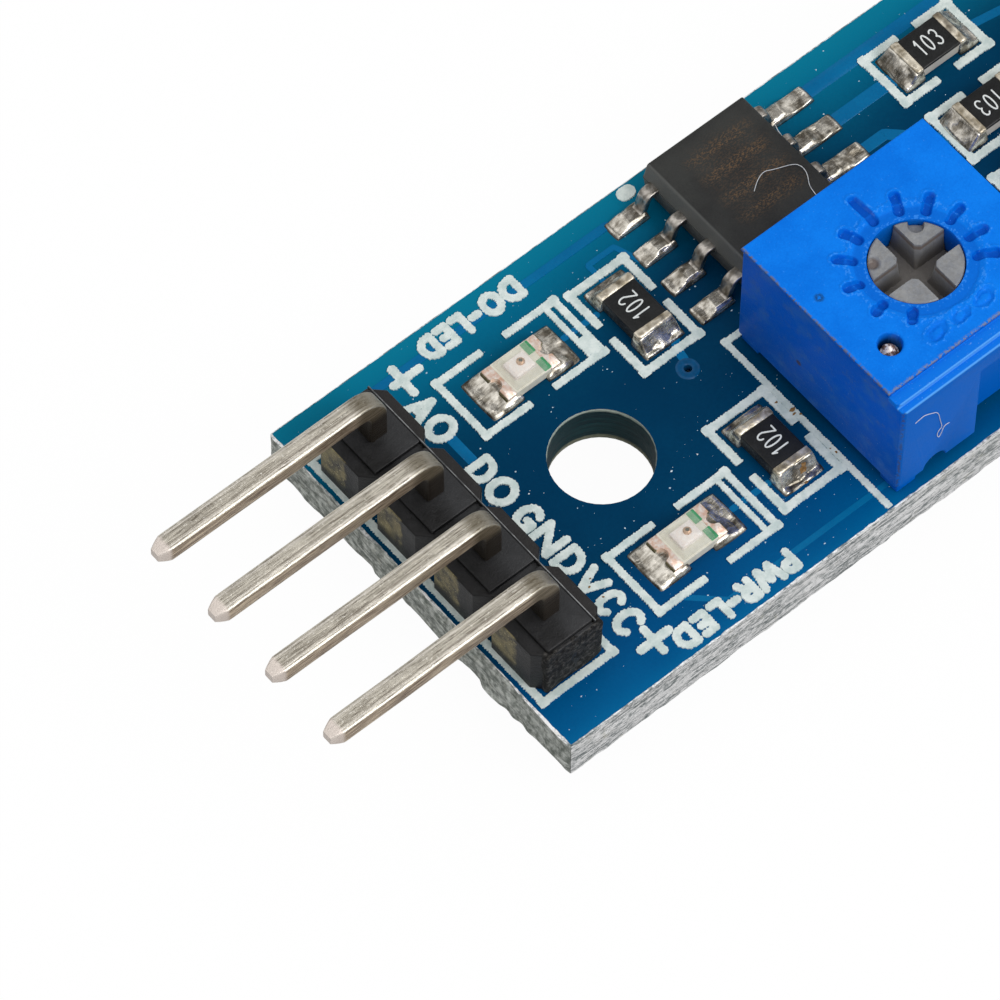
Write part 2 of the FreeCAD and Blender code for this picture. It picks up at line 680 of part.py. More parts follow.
rectangle(seat, trim_west + trim_wall, trim_east - trim_wall, -half_wide + trim_wall,
    half_wide - trim_wall)
pocket(housing, seat, base_thick + trim_lift, "HousingSeatCut")
hollow = sketch(housing, "XY_Plane", trim_tall - trim_lid, "HousingHollow")
circle(hollow, zero, zero, trim_chamber)
pocket(housing, hollow, trim_tall - trim_lid - trim_lift - base_thick, "HousingHollowCut")
mouth = sketch(housing, "XY_Plane", trim_tall, "HousingMouth")
circle(mouth, zero, zero, rotor_radius + rotor_gap)
pocket(housing, mouth, trim_lid, "HousingMouthCut")
ring = sketch(housing, "XY_Plane", trim_tall, "HousingRing")
circle(ring, zero, zero, ring_radius)
pocket(housing, ring, ring_deep, "HousingRingCut")
eye = sketch(housing, "XY_Plane", trim_tall, "HousingEye")
circle(eye, eye_x, eye_y, eye_radius)
pocket(housing, eye, eye_deep, "HousingEyeCut")
shaft = sketch(housing, "XY_Plane", trim_tall - eye_deep, "HousingShaft")
circle(shaft, eye_x, eye_y, trim_pin_radius + fit_gap)
pocket(housing, shaft, trim_tall - eye_deep - trim_lift - base_thick, "HousingShaftCut")
long_mark = sketch(housing, "XY_Plane", trim_tall, "HousingLongMark")
rectangle(long_mark, -tick_wide / 2, tick_wide / 2, tick_start + tick_long / 2,
    tick_start + tick_long * 1.65)
pocket(housing, long_mark, ring_deep, "HousingLongMarkCut")
mark = sketch(housing, "XY_Plane", trim_tall, "HousingMark")
slant = math.sqrt(0.5)
near = tick_start * slant
far = (tick_start + tick_long) * slant
side = tick_wide / 2 * slant
polygon(mark, [
    (near - side, -near - side), (far - side, -far - side),
    (far + side, -far + side), (near + side, -near + side)])
mark_cut = pocket(housing, mark, ring_deep, "HousingMarkCut")
marks = housing.newObject("PartDesign::PolarPattern", "HousingMarks")
marks.Originals = [mark_cut]
marks.Axis = (housing.Origin.OriginFeatures[2], [""])
marks.Angle = 270
marks.Occurrences = 11
mark_cut.Visibility = False
housing.Tip = marks
doc.recompute()
place(housing, trim_x, trim_y, top)
node(housing, "trimmer_housing")

# Rotor: a turned profile with the cross slot, the rim notch and the dimple cut into its head.
rotor = new_body("trimmer_rotor")
rotor_low = trim_lift + base_thick + element_thick + wiper_gap + wiper_thick
flange_high = trim_tall - trim_lid - rotor_gap
head_high = trim_tall - rotor_sink
flange_radius = trim_chamber - rotor_gap
profile = sketch(rotor, "XZ_Plane", zero, "RotorProfile")
polygon(profile, [
    (zero, rotor_low), (flange_radius, rotor_low), (flange_radius, flange_high),
    (rotor_radius, flange_high), (rotor_radius, head_high), (zero, head_high)])
turned = rotor.newObject("PartDesign::Revolution", "RotorTurned")
turned.Profile = profile
turned.ReferenceAxis = (profile, ["V_Axis"])
turned.Angle = 360
profile.Visibility = False
doc.recompute()
cross = sketch(rotor, "XY_Plane", head_high, "RotorCross")
arm = rotor_radius + fit_gap
half_slot = slot_width / 2
tip_span = slot_tip * math.sqrt(2) - half_slot
cross_outline = []
for turn in range(4):
    for across, along in ((half_slot, tip_span), (tip_span, half_slot), (arm, half_slot), (arm, -half_slot)):
        for step in range(turn):
            across, along = along, -across
        cross_outline.append((across, along))
polygon(cross, cross_outline)
pocket(rotor, cross, slot_deep, "RotorCrossCut")
notch = sketch(rotor, "XY_Plane", head_high, "RotorNotch")
circle(notch, rotor_radius * 0.66, rotor_radius * 0.72, slot_notch)
pocket(rotor, notch, slot_notch, "RotorNotchCut")
dimple = sketch(rotor, "XY_Plane", head_high, "RotorDimple")
circle(dimple, -rotor_radius * 0.68, rotor_radius * 0.55, slot_dimple)
pocket(rotor, dimple, dimple_deep, "RotorDimpleCut")
place(rotor, trim_x, trim_y, top)
node(rotor, "trimmer_rotor")

# Wiper under the rotor, resistive element on the base, and the base that closes the housing.
wiper_low = top + rotor_low - wiper_thick
wiper_hub = rod("WiperHub", element_inner * 0.55, wiper_thick, trim_x, trim_y, wiper_low)
wiper_arm = box("WiperArm", element_inner * 0.6, wiper_radius, wiper_thick, trim_x,
    trim_y + wiper_radius / 2, wiper_low)
node(fuse("WiperPlate", [wiper_hub, wiper_arm]), "trimmer_wiper")
element_low = top + trim_lift + base_thick
track = rod("ElementTrack", element_outer, element_thick, trim_x, trim_y, element_low)
track_core = rod("ElementCore", element_inner, element_thick * 2, trim_x, trim_y,
    element_low - element_thick / 2)
track_ring = cut("ElementRing", track, track_core)
gap_wide = element_inner * 0.9
track_gap = box("ElementGap", gap_wide, element_outer, element_thick * 2, trim_x,
    trim_y - element_outer / 2 - element_gap_shift,
                element_low - element_thick / 2)
track_open = cut("ElementOpen", track_ring, track_gap)
collector = rod("ElementCollector", element_inner * 0.5, element_thick, trim_x, trim_y, element_low)
node(group("ElementPair", [track_open, collector]), "trimmer_element")
base_long = trim_long - trim_wall * 2
base_wide = trim_wide - trim_wall * 2
slab = box("BaseSlab", base_long, base_wide, base_thick, pin_mid_x, trim_y, top + trim_lift)
drills = []
for index, (across, along) in enumerate(trim_pins):
    name = "BaseDrill_%d" % (index + 1)
    drills.append(rod(name, trim_pin_radius + fit_gap, base_thick * 2, across, along,
        top + trim_lift - base_thick / 2))
node(cut("BasePlate", slab, fuse("BaseDrills", drills)), "trimmer_base")

# Trimmer pins; the first one reaches up to the eye in the lid.
joints = []
for index, (across, along) in enumerate(trim_pins):
    label = "trimmer_pin_%d" % (index + 1)
    high = trim_tall - eye_deep if index == 0 else trim_lift + base_thick
    wire = rod(label + "_wire", trim_pin_radius, board_thick + tail_length + high, across, along,
        -tail_length)
    collar = rod(label + "_collar", trim_pin_collar, trim_lift / 3, across, along, top + trim_lift * 2 / 3)
    node(fuse(label + "_whole", [wire, collar]), label)
    name = "trimmer_joint_%d" % (index + 1)
    core = rod(name + "_core", trim_pin_radius + fit_gap, small_joint_tall * 2, across, along,
        -small_joint_tall * 1.5)
    joints.append(cone_joint(name, small_joint, trim_pin_hole, small_joint_tall, across, along, core))
node(group("TrimmerSolder", joints), "trimmer_solder")

# Chip resistors: a ceramic body with a raised glaze, and two end caps folded round it.
chip_low = top + pad_level


def chip_boxes(name, across, along, long, wide, tall, low, turned):
    """A box whose length runs across the board when turned is true."""
    if turned:
        return box(name, wide, long, tall, across, along, low)
    return box(name, long, wide, tall, across, along, low)


def chip_solder(name, across, along, turned, terminal, tall):
    """The two joints of one chip."""
    parts = []
    for sign in (-1, 1):
        centre = along if turned else across
        side_on = across if turned else along
        end = centre + chip_long / 2 * sign
        part_name = "%s_%s" % (name, "low" if sign < 0 else "high")
        parts.append(solder_toe(part_name, end, side_on, sign, chip_toe, chip_wide + chip_solder_more,
            tall, terminal, turned))
    return parts


resistors = [
    (res_near_x, res_near_y, True),
    (res_low_x, res_low_y, True),
    (res_far_x, res_far_y, False),
    (res_far_x, res_far_y - res_step, False)]
joints = []
for index, (across, along, turned) in enumerate(resistors):
    label = "resistor_%d" % (index + 1)
    core_long = chip_long - chip_skin * 2
    core_tall = chip_tall - chip_skin * 2
    core = chip_boxes(label + "_core", across, along, core_long, chip_wide, core_tall,
        chip_low + chip_skin, turned)
    glaze_long = chip_long - chip_cap * 2
    glaze_tall = chip_tall - chip_glaze - chip_skin
    glaze = chip_boxes(label + "_glaze", across, along, glaze_long, chip_wide * 0.94, glaze_tall,
        chip_low + chip_skin, turned)
    ceramic = node(fuse(label + "_ceramic", [core, glaze]), label + "_body")
    whole = chip_boxes(label + "_whole", across, along, chip_long, chip_wide, chip_tall, chip_low, turned)
    middle = chip_boxes(label + "_middle", across, along, glaze_long, chip_wide * 1.1, chip_tall * 2,
        chip_low - chip_tall / 2, turned)
    ends = cut(label + "_ends", whole, middle)
    inside = chip_boxes(label + "_inside", across, along, core_long, chip_wide * 1.1, core_tall,
        chip_low + chip_skin, turned)
    node(cut(label + "_folded", ends, inside), label + "_caps")
    joints.extend(chip_solder(label + "_joint", across, along, turned, chip_cap, chip_solder_tall))
node(group("ResistorSolder", joints), "resistor_solder")

# Chip capacitor beside the trimmer.
cap_x = res_far_x
cap_y = res_far_y - res_step * 2
cap_core = box("CapacitorCore", chip_long - chip_cap * 2, chip_wide, cap_tall, cap_x, cap_y, chip_low)
node(cap_core, "capacitor_body")
cap_ends = []
for sign in (-1, 1):
    name = "CapacitorEnd_%d" % (1 if sign < 0 else 2)
    middle_x = cap_x + (chip_long - chip_cap) / 2 * sign
    cap_ends.append(box(name, chip_cap, chip_wide, cap_tall, middle_x, cap_y, chip_low))
node(group("CapacitorEnds", cap_ends), "capacitor_caps")
node(group("CapacitorSolder", chip_solder("cap_joint", cap_x, cap_y, False, chip_cap, chip_solder_tall)),
    "capacitor_solder")

# Indicator LEDs: base, two gilded terminals with a half-round bite, and a clear lens with leaning ends.
joints = []
for index, led_y in enumerate((led_high_y, led_low_y)):
    label = "led_%d" % (index + 1)
    base_run = chip_long - led_cap * 2
    node(box(label + "_slab", base_run, chip_wide, led_base_tall, led_x, led_y, chip_low), label + "_base")
    ends = []
    for sign in (-1, 1):
        tag = "%s_end_%d" % (label, 1 if sign < 0 else 2)
        block = box(tag + "_block", led_cap, chip_wide, led_base_tall,
            led_x + (chip_long - led_cap) / 2 * sign, led_y, chip_low)
        bite = rod(tag + "_bite", led_bite, led_base_tall * 2, led_x + chip_long / 2 * sign, led_y,
            chip_low - led_base_tall / 2)
        ends.append(cut(tag, block, bite))
    node(group(label + "_ends", ends), label + "_terminals")
    lens_low = chip_low + led_base_tall
    half_lens = led_lens_long / 2
    half_lens_wide = led_lens_wide / 2
    lens = taper(
        label + "_dome",
        (led_x - half_lens, led_y - half_lens_wide), (led_x + half_lens, led_y + half_lens_wide),
        (led_x - half_lens + led_lens_slope, led_y - half_lens_wide + led_lens_slope / 4),
        (led_x + half_lens - led_lens_slope, led_y + half_lens_wide - led_lens_slope / 4),
        lens_low, led_lens_tall)
    node(lens, label + "_lens")
    joints.extend(chip_solder(label + "_joint", led_x, led_y, False, led_cap, led_base_tall * 0.6))
node(group("LedSolder", joints), "led_solder")

# Light-dependent resistor: a ceramic disc with two flats, its serpentine track and two straight leads.
disc_low = top + sensor_lift
disc_round = rod("SensorRound", sensor_radius, sensor_thick, sensor_x, zero, disc_low)
disc_box = box("SensorFlats", sensor_flat, sensor_radius * 2.2, sensor_thick * 2, sensor_x, zero,
    disc_low - sensor_thick / 2)
disc = doc.addObject("Part::MultiCommon", "SensorDisc")
disc.Shapes = [disc_round, disc_box]
node(disc, "sensor_disc")
runs = []
track_low = disc_low + sensor_thick
run_long = sensor_flat * 0.62
for index in range(5):
    offset = track_pitch * (index - 2)
    runs.append(box("SensorRun_%d" % (index + 1), run_long, track_wide, track_thick, sensor_x, offset,
        track_low))
for index in range(4):
    side_sign = 1 if index % 2 == 0 else -1
    link_x = sensor_x + (run_long - track_wide) / 2 * side_sign
    link_y = track_pitch * (index - 1.5)
    runs.append(box("SensorLink_%d" % (index + 1), track_wide, track_pitch, track_thick, link_x, link_y,
        track_low))
node(fuse("SensorRuns", runs), "sensor_track")
joints = []
for index, along in enumerate(sensor_leads):
    label = "sensor_lead_%d" % (index + 1)
    wire = rod(label + "_wire", sensor_wire, tail_length + board_thick + sensor_lift, sensor_x, along,
        -tail_length)
    node(wire, label)
    name = "sensor_joint_%d" % (index + 1)
    core = rod(name + "_core", sensor_wire + fit_gap, small_joint_tall * 2, sensor_x, along,
        -small_joint_tall * 1.5)
    joints.append(cone_joint(name, small_joint, sensor_wire + small_hole_lip, small_joint_tall, sensor_x,
        along, core))
node(group("SensorSolder", joints), "sensor_solder")

doc.recompute()
for item in doc.Objects:
    for word in item.State:
        if word in ("Invalid", "Error"):
            raise RuntimeError("%s is %s" % (item.Name, word))
for item in NODES:
    if item.Shape.isNull() or not item.Shape.isValid():
        raise RuntimeError(item.Label + " has no sound shape")
    item.Shape.exportStep("parts/%s.step" % item.Label)
    bounds = item.Shape.BoundBox
    print("%-22s %2d solid(s) %9.4f mm3  x %7.2f %7.2f  y %6.2f %6.2f  z %6.2f %6.2f" % (
        item.Label, len(item.Shape.Solids), item.Shape.Volume, bounds.XMin, bounds.XMax,
        bounds.YMin, bounds.YMax, bounds.ZMin, bounds.ZMax))
print(len(NODES), "sub-parts")
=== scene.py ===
# %% [markdown]
# # A light sensor board, dressed for its picture
# The solids of the board come from its CAD model. They are loaded first and never moved, and every new
# surface is placed in the same frame: the origin is the centre of the mounting hole at the board's
# underside, +X runs along the board towards the sensor, +Y across it and +Z out of the side that carries
# the parts. The numbers below are in millimetres, because the parts are, and are turned into metres in one
# place.

# %% Load the frame
import math
import bmesh
import bpy
import numpy as np
from mathutils import Matrix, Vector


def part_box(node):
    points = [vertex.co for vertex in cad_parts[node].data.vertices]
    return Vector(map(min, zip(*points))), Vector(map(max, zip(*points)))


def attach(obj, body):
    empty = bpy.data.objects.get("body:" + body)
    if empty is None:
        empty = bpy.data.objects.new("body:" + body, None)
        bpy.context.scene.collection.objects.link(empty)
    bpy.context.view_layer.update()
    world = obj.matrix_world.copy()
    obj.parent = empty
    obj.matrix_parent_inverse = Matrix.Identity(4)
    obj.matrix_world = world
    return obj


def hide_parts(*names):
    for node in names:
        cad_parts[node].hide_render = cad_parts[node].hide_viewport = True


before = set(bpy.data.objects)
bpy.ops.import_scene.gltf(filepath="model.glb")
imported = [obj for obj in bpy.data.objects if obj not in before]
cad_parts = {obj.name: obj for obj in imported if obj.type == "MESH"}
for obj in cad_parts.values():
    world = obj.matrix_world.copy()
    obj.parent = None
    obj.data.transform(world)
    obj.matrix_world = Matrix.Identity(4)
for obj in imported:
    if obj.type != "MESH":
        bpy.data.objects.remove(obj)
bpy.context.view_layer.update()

MM = 0.001
TOP = 1.6
print("nodes in the frame:", len(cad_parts))

# %% [markdown]
# ## Camera
# The board was photographed from above its header corner with a long lens. The camera's place and turn were
# found by fitting the board's drawn outlines, the hole and the 2.54 mm pin spacing, so it is written here
# as three directions and a point. A long lens so close to a small board keeps parallel edges nearly
# parallel.

# %% Camera
CAMERA_PLACE = (-78.51, -87.30, 199.05)
CAMERA_RIGHT = (0.7653, -0.6436, 0.0049)
CAMERA_UP = (0.5532, 0.6617, 0.5061)
CAMERA_BACK = (-0.3290, -0.3847, 0.8624)
CAMERA_LENS = 286.69

camera_data = bpy.data.cameras.new("board_camera")
camera = bpy.data.objects.new("board_camera", camera_data)
bpy.context.collection.objects.link(camera)
camera.matrix_world = Matrix(
    [[CAMERA_RIGHT[i], CAMERA_UP[i], CAMERA_BACK[i], CAMERA_PLACE[i] * MM] for i in range(3)]
    + [[0, 0, 0, 1]])
camera_data.sensor_width = 36.0
camera_data.lens = CAMERA_LENS
camera_data.clip_start = 0.01
bpy.context.scene.camera = camera
bpy.context.scene.view_settings.view_transform = "Standard"
print("camera", CAMERA_LENS, "mm lens at", CAMERA_PLACE)

# %% [markdown]
# ## Writing materials as arithmetic
# A Blender material is a graph of nodes. Drawing that graph in code is long and hard to read, so one small
# class wraps a socket and lets + - * build the Math nodes. Everything that isn't arithmetic goes through
# Finish.node, which takes a node's type, its settings and what its sockets receive.

# %% Sockets that do arithmetic
def paint(text):
    """A screen colour such as 0a74e0 as the linear colour that a shader takes."""
    channels = [int(text[i:i + 2], 16) / 255 for i in (0, 2, 4)]
    return tuple(c / 12.92 if c <= 0.04045 else ((c + 0.055) / 1.055) ** 2.4 for c in channels) + (1.0,)


class Wire:
    """One output of a shader node. Arithmetic on it adds Math nodes."""

    def __init__(self, finish, socket):
        self.finish = finish
        self.socket = socket

    def maths(self, operation, *others):
        inputs = dict(enumerate((self,) + others))
        return self.finish.node("ShaderNodeMath", {"operation": operation}, inputs)

    def __add__(self, other):
        return self.maths("ADD", other)

    def __sub__(self, other):
        return self.maths("SUBTRACT", other)

    def __mul__(self, other):
        return self.maths("MULTIPLY", other)

    __radd__ = __add__
    __rmul__ = __mul__

    def __rsub__(self, other):
        return self.finish.node("ShaderNodeMath", {"operation": "SUBTRACT"}, {0: other, 1: self})

    def size(self):
        return self.maths("ABSOLUTE")

    def larger(self, other):
        return self.maths("MAXIMUM", other)

    def power(self, exponent):
        return self.maths("POWER", exponent)

    def ramp(self, low, high):
        """0 at low, 1 at high, smooth between; low may be the larger."""
        if low > high:
            return 1 - self.ramp(high, low)
        limits = {0: self, 1: low, 2: high, 3: 0.0, 4: 1.0}
        return self.finish.node("ShaderNodeMapRange", {"interpolation_type": "SMOOTHSTEP"}, limits)

    def near(self, place, far, close=0.0):
        """1 within close of place, 0 further than far from it."""
        return (self - place).size().ramp(far, close)


def gap_to(x, y, place):
    """How far the Wires x, y are from a place."""
    return ((x - place[0]) * (x - place[0]) + (y - place[1]) * (y - place[1])).power(0.5)


class Finish:
    """A material under construction: one Principled shader and the nodes that feed it."""

    def __init__(self, name, slot, colour, rough=0.5, metal=0.0, **constants):
        self.material = bpy.data.materials.new(name)
        self.material.use_nodes = True
        self.slot = slot
        self.tree = self.material.node_tree
        self.shader = self.tree.nodes["Principled BSDF"]
        self.shader.inputs["Base Color"].default_value = paint(colour)
        self.shader.inputs["Roughness"].default_value = rough
        self.shader.inputs["Metallic"].default_value = metal
        for socket, value in constants.items():
            self.shader.inputs[socket.replace("_", " ")].default_value = value
        self.places = None

    def node(self, kind, settings=None, inputs=None, output=0):
        item = self.tree.nodes.new(kind)
        for key, value in (settings or {}).items():
            setattr(item, key, value)
        for key, value in (inputs or {}).items():
            if isinstance(value, Wire):
                self.tree.links.new(value.socket, item.inputs[key])
            else:
                item.inputs[key].default_value = value
        return Wire(self, item.outputs[output])

    def feed(self, socket, value):
        self.tree.links.new(value.socket, self.shader.inputs[socket])

    def place(self):
        """Object coordinates in millimetres, as one vector."""
        if self.places is None:
            raw = self.node("ShaderNodeTexCoord", output="Object")
            scaled = {0: raw, "Scale": 1 / MM}
            self.places = self.node("ShaderNodeVectorMath", {"operation": "SCALE"}, scaled)
        return self.places

    def axes(self, vector=None):
        """The three numbers of a vector, by default of the place."""
        split = self.tree.nodes.new("ShaderNodeSeparateXYZ")
        self.tree.links.new((vector or self.place()).socket, split.inputs[0])
        return [Wire(self, split.outputs[i]) for i in range(3)]

    def facing(self):
        """The direction the surface faces, as three numbers."""
        return self.axes(self.node("ShaderNodeTexCoord", output="Normal"))

    def noise(self, grain, detail=3.0, rough=0.55, shift=0.0):
        """Soft noise from 0 to 1 whose lumps are grain millimetres wide, one number or three."""
        grain = grain if isinstance(grain, tuple) else (grain, grain, grain)
        fit = self.node("ShaderNodeVectorMath", {"operation": "MULTIPLY_ADD"}, {
            0: self.place(), 1: tuple(1.0 / g for g in grain), 2: (shift, shift * 1.7, shift * 0.6)})
        return self.node("ShaderNodeTexNoise", {"noise_dimensions": "3D"}, {
            "Vector": fit, "Scale": 1.0, "Detail": detail, "Roughness": rough})

    def tint(self, factor, low, high):
        """A colour that runs from low to high."""
        pick = {0: factor, 6: low, 7: high}
        pick = {k: (paint(v) if isinstance(v, str) else v) for k, v in pick.items()}
        return self.node("ShaderNodeMix", {"data_type": "RGBA"}, pick, 2)

    def coats(self, colour, *layers):
        """The colour under layers of other colours, each a pair: how much of it shows, and which it is."""
        for factor, over in layers:
            colour = self.tint(factor, colour, over)
        self.feed("Base Color", colour)

    def bump(self, height, deep):
        """Raise the surface by height, from 0 to 1, times deep millimetres, in shading only."""
        lift = {"Height": height, "Distance": deep * MM, "Strength": 1.0}
        self.feed("Normal", self.node("ShaderNodeBump", inputs=lift))


def mottled(name, slot, rough, grain, low, high, metal=0.0, detail=2.0, wild=0.55, span=None, deep=0.0,
            **constants):
    """A plain finish: a colour that wanders from low to high in lumps of grain millimetres, with a bump of
    deep. A span, where there is one, is the part of the noise over which it changes."""
    finish = Finish(name, slot, low, rough, metal, **constants)
    lumps = finish.noise(grain, detail, wild)
    finish.coats(finish.tint(lumps.ramp(*span) if span else lumps, low, high))
    if deep:
        finish.bump(lumps, deep)
    return finish


print("material tools ready")

# %% [markdown]
# ## Surfaces as arrays
# Almost every part here is a closed outline that is stacked, swept or turned. An array of (rings, points, 3)
# covers all three, so stack() closes such an array with flat ends. weave() alone does open grids, for solder
# and anything else that is a height above the board. A shape is a pair, its points and its faces, and put()
# makes it a piece: it names the body that it rides on, its material and the CAD nodes that it stands for.

# %% Meshes from arrays
def weave(rows, columns, closed=False, flip=False):
    """The four-cornered faces of a grid; closed joins the last column to the first, flip turns the faces
    over."""
    i, j = np.meshgrid(np.arange(rows - 1), np.arange(columns if closed else columns - 1), indexing="ij")
    k = (j + 1) % columns
    faces = np.stack([i * columns + j, i * columns + k, (i + 1) * columns + k, (i + 1) * columns + j], -1)
    faces = faces.reshape(-1, 4)
    return (faces[:, ::-1] if flip else faces).tolist()


def mend(mesh, distance, flat_within=0.0):
    """Join points closer than distance metres, turn the faces outwards, and merge faces flat within some
    degrees."""
    work = bmesh.new()
    work.from_mesh(mesh)
    bmesh.ops.remove_doubles(work, verts=work.verts, dist=distance)
    bmesh.ops.recalc_face_normals(work, faces=work.faces)
    if flat_within:
        limit = math.radians(flat_within)
        bmesh.ops.dissolve_limit(work, angle_limit=limit, verts=work.verts, edges=work.edges)
    work.to_mesh(mesh)
    work.free()


def seat(name, mesh, finish, body, stands_for):
    """A mesh as an object with its material, the body it rides on and the CAD nodes it stands
    for."""
    mesh.materials.append(finish.material)
    piece = bpy.data.objects.new(name, mesh)
    bpy.context.collection.objects.link(piece)
    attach(piece, body)
    if stands_for:
        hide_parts(*stands_for)
    return piece


def put(name, shape, finish, body="board", stands_for=(), smooth=35, tidy=True):
    """A finished piece from its shape: points in millimetres, and faces. Edges sharper than smooth degrees
    stay."""
    points, faces = shape
    mesh = bpy.data.meshes.new(name)
    mesh.from_pydata((np.asarray(points, float) * MM).tolist(), [], faces)
    if tidy:
        mend(mesh, 1e-8)
    mesh.shade_smooth()
    mesh.set_sharp_from_angle(angle=math.radians(smooth))
    seat(name, mesh, finish, body, stands_for)


def dressed(name, node, finish, width, body="board", angle=28, segments=2):
    """A copy of a CAD node whose edges are rounded by width millimetres, standing in for the node."""
    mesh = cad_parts[node].data.copy()
    mesh.materials.clear()
    mend(mesh, 2e-7, flat_within=1.0)
    mesh.shade_smooth()
    piece = seat(name, mesh, finish, body, (node,))
    soften = piece.modifiers.new("edges", "BEVEL")
    soften.width = width * MM
    soften.segments = segments
    soften.limit_method = "ANGLE"
    soften.angle_limit = math.radians(angle)
    soften.harden_normals = True
    return piece


def node_box(node):
    """The low and high corners of a CAD node, in millimetres."""
    return [np.array(corner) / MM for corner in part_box(node)]


def stack(rings):
    """The shape of a closed solid through rings, an array of (rings, points, 3), with flat ends."""
    rings = np.asarray(rings, float)
    rows, columns = rings.shape[:2]
    faces = weave(rows, columns, closed=True)
    faces.append(list(range(columns))[::-1])
    faces.append(list(range((rows - 1) * columns, rows * columns)))
    return rings.reshape(-1, 3), faces


def join(shapes):
    """Several shapes as one."""
    points, faces, start = [], [], 0
    for more_points, more_faces in shapes:
        points.append(np.asarray(more_points, float))
        faces.extend([[v + start for v in f] for f in more_faces])
        start += len(more_points)
    return np.vstack(points), faces


def circle(count):
    """As many angles as count, evenly round a circle."""
    return np.linspace(0, 2 * math.pi, count, endpoint=False)


def ring_of(radius, count=12):
    """A circle as a profile."""
    return np.stack([radius * np.cos(circle(count)), radius * np.sin(circle(count))], 1)


def turned_row(centre, radius, angle, height):
    """Points round an upright axis; radius and height may each be one number or one for each angle."""
    level = np.broadcast_to(height, angle.shape)
    return np.stack([centre[0] + radius * np.cos(angle), centre[1] + radius * np.sin(angle), level], -1)


def disc_grid(radius, steps):
    """A square grid of steps by steps points, squeezed into a disc."""
    side = np.linspace(-1, 1, steps)
    u, v = np.meshgrid(side, side, indexing="ij")
    return radius * u * np.sqrt(1 - v * v / 2), radius * v * np.sqrt(1 - u * u / 2)


def travelled(path):
    """How far along the path each of its points is."""
    return np.concatenate([[0], np.cumsum(np.linalg.norm(np.diff(path, axis=0), axis=1))])


def even_ring(flat, count):
    """A closed outline again, with count points evenly spaced along it."""
    closed = np.vstack([flat, flat[:1]])
    travel = travelled(closed)
    places = np.linspace(0, travel[-1], count, endpoint=False)
    return np.stack([np.interp(places, travel, closed[:, k]) for k in range(2)], 1)


def outline(half_x, half_y, corner, steps=5):
    """A rectangle with rounded corners: four quarter circles of radius corner, one after the other."""
    turn = np.linspace(0, math.pi / 2, steps)
    arcs = []
    for quarter, (sx, sy) in enumerate(((1, 1), (-1, 1), (-1, -1), (1, -1))):
        angle = turn + quarter * math.pi / 2
        arcs.append(np.stack([sx * (half_x - corner) + corner * np.cos(angle),
                              sy * (half_y - corner) + corner * np.sin(angle)], 1))
    return np.vstack(arcs)


def block(centre, half_x, half_y, corner, levels):
    """A rounded block: the outline drawn at each level (height, inset), drawn in by the inset."""
    rings = []
    for height, inset in levels:
        flat = outline(half_x - inset, half_y - inset, max(corner - inset * 0.5, 0.006))
        rings.append(np.column_stack([flat + np.array(centre[:2]), np.full(len(flat), height)]))
    return stack(rings)


def soft_levels(low, high, edge, foot=0.0):
    """Levels for block: upright sides and an edge that rounds over at the top, and at the foot too if
    asked."""
    turn = np.linspace(0, math.pi / 2, 5)
    lower = [(low, foot)]
    if foot:
        lower += [(low + foot * math.sin(a), foot * (1 - math.sin(a))) for a in turn[1:]]
    return lower + [(high - edge + edge * math.sin(a), edge * (1 - math.cos(a))) for a in turn]


def rough(u, v, seed):
    """Smooth random numbers from -1 to 1: random values on whole-number points, blended between them."""
    table = np.random.RandomState(seed).uniform(-1, 1, (64, 64))
    u, v = np.broadcast_arrays(np.asarray(u, float), np.asarray(v, float))
    i, j = np.floor(u).astype(int), np.floor(v).astype(int)
    a, b = u - i, v - j
    a, b = a * a * (3 - 2 * a), b * b * (3 - 2 * b)
    low = table[i % 64, j % 64] * (1 - a) + table[(i + 1) % 64, j % 64] * a
    high = table[i % 64, (j + 1) % 64] * (1 - a) + table[(i + 1) % 64, (j + 1) % 64] * a
    return low * (1 - b) + high * b


def along(path, profile, side=(0, 1, 0), scale=None):
    """A profile carried along a path. profile is (points, 2): its first number goes across the path, at
    right angles to side, and its second along side."""
    path = np.asarray(path, float)
    heading = np.gradient(path, axis=0)
    heading /= np.linalg.norm(heading, axis=1)[:, None]
    side = np.broadcast_to(np.asarray(side, float), path.shape)
    across = np.cross(side, heading)
    across /= np.linalg.norm(across, axis=1)[:, None]
    side = np.cross(heading, across)
    scale = np.ones(len(path)) if scale is None else np.asarray(scale)
    spread = across[:, None] * profile[None, :, :1] + side[:, None] * profile[None, :, 1:]
    return stack(path[:, None] + spread * scale[:, None, None])


print("surface tools ready")

# %% [markdown]
# ## The board's finish
# The laminate is glass cloth in resin. Blue solder mask covers both faces: it looks navy over bare laminate,
# with fine specks and a hard gloss, and it is painted lighter towards the edges and a little near the pins
# as a painted sheen. The cut edges show grey-white fibres that run along the edge. The CAD solid has the
# right shape, so it stays and gets one material that asks which way it faces.

# %% Solder mask and laminate
mask_finish = Finish("solder_mask", "solder_mask", "05507d", 0.2, Specular_IOR_Level=0.035)
board_x, board_y = mask_finish.axes()[:2]
is_flat = mask_finish.facing()[2].size().ramp(0.6, 0.8)
# Painted sheen: the mask is painted lighter towards both long edges and a little near the pins, mixed with
# real mottling.
edge_sheen = board_y.ramp(1.5, 6.9).power(1.7) * 1.25 + board_y.ramp(-2.5, -7.0).power(1.6) * 0.55
cloud = mask_finish.noise(4.0, 2.0)
speckle = mask_finish.noise(0.09, 2.0, 0.6, 3.0)
weave_marks = mask_finish.noise((0.35, 0.05, 0.35), 2.0, 0.5, 9.0)
near_pins = (board_x + 1.2).ramp(1.0, -5.0) * 0.07
sheen_and_mottle = (edge_sheen * 0.75 + near_pins + cloud * 0.38 - 0.14 + speckle * 0.14).ramp(0.0, 1.0)
lighter = mask_finish.tint(board_y.ramp(-1.0, 2.5), "026d9f", "02688a")
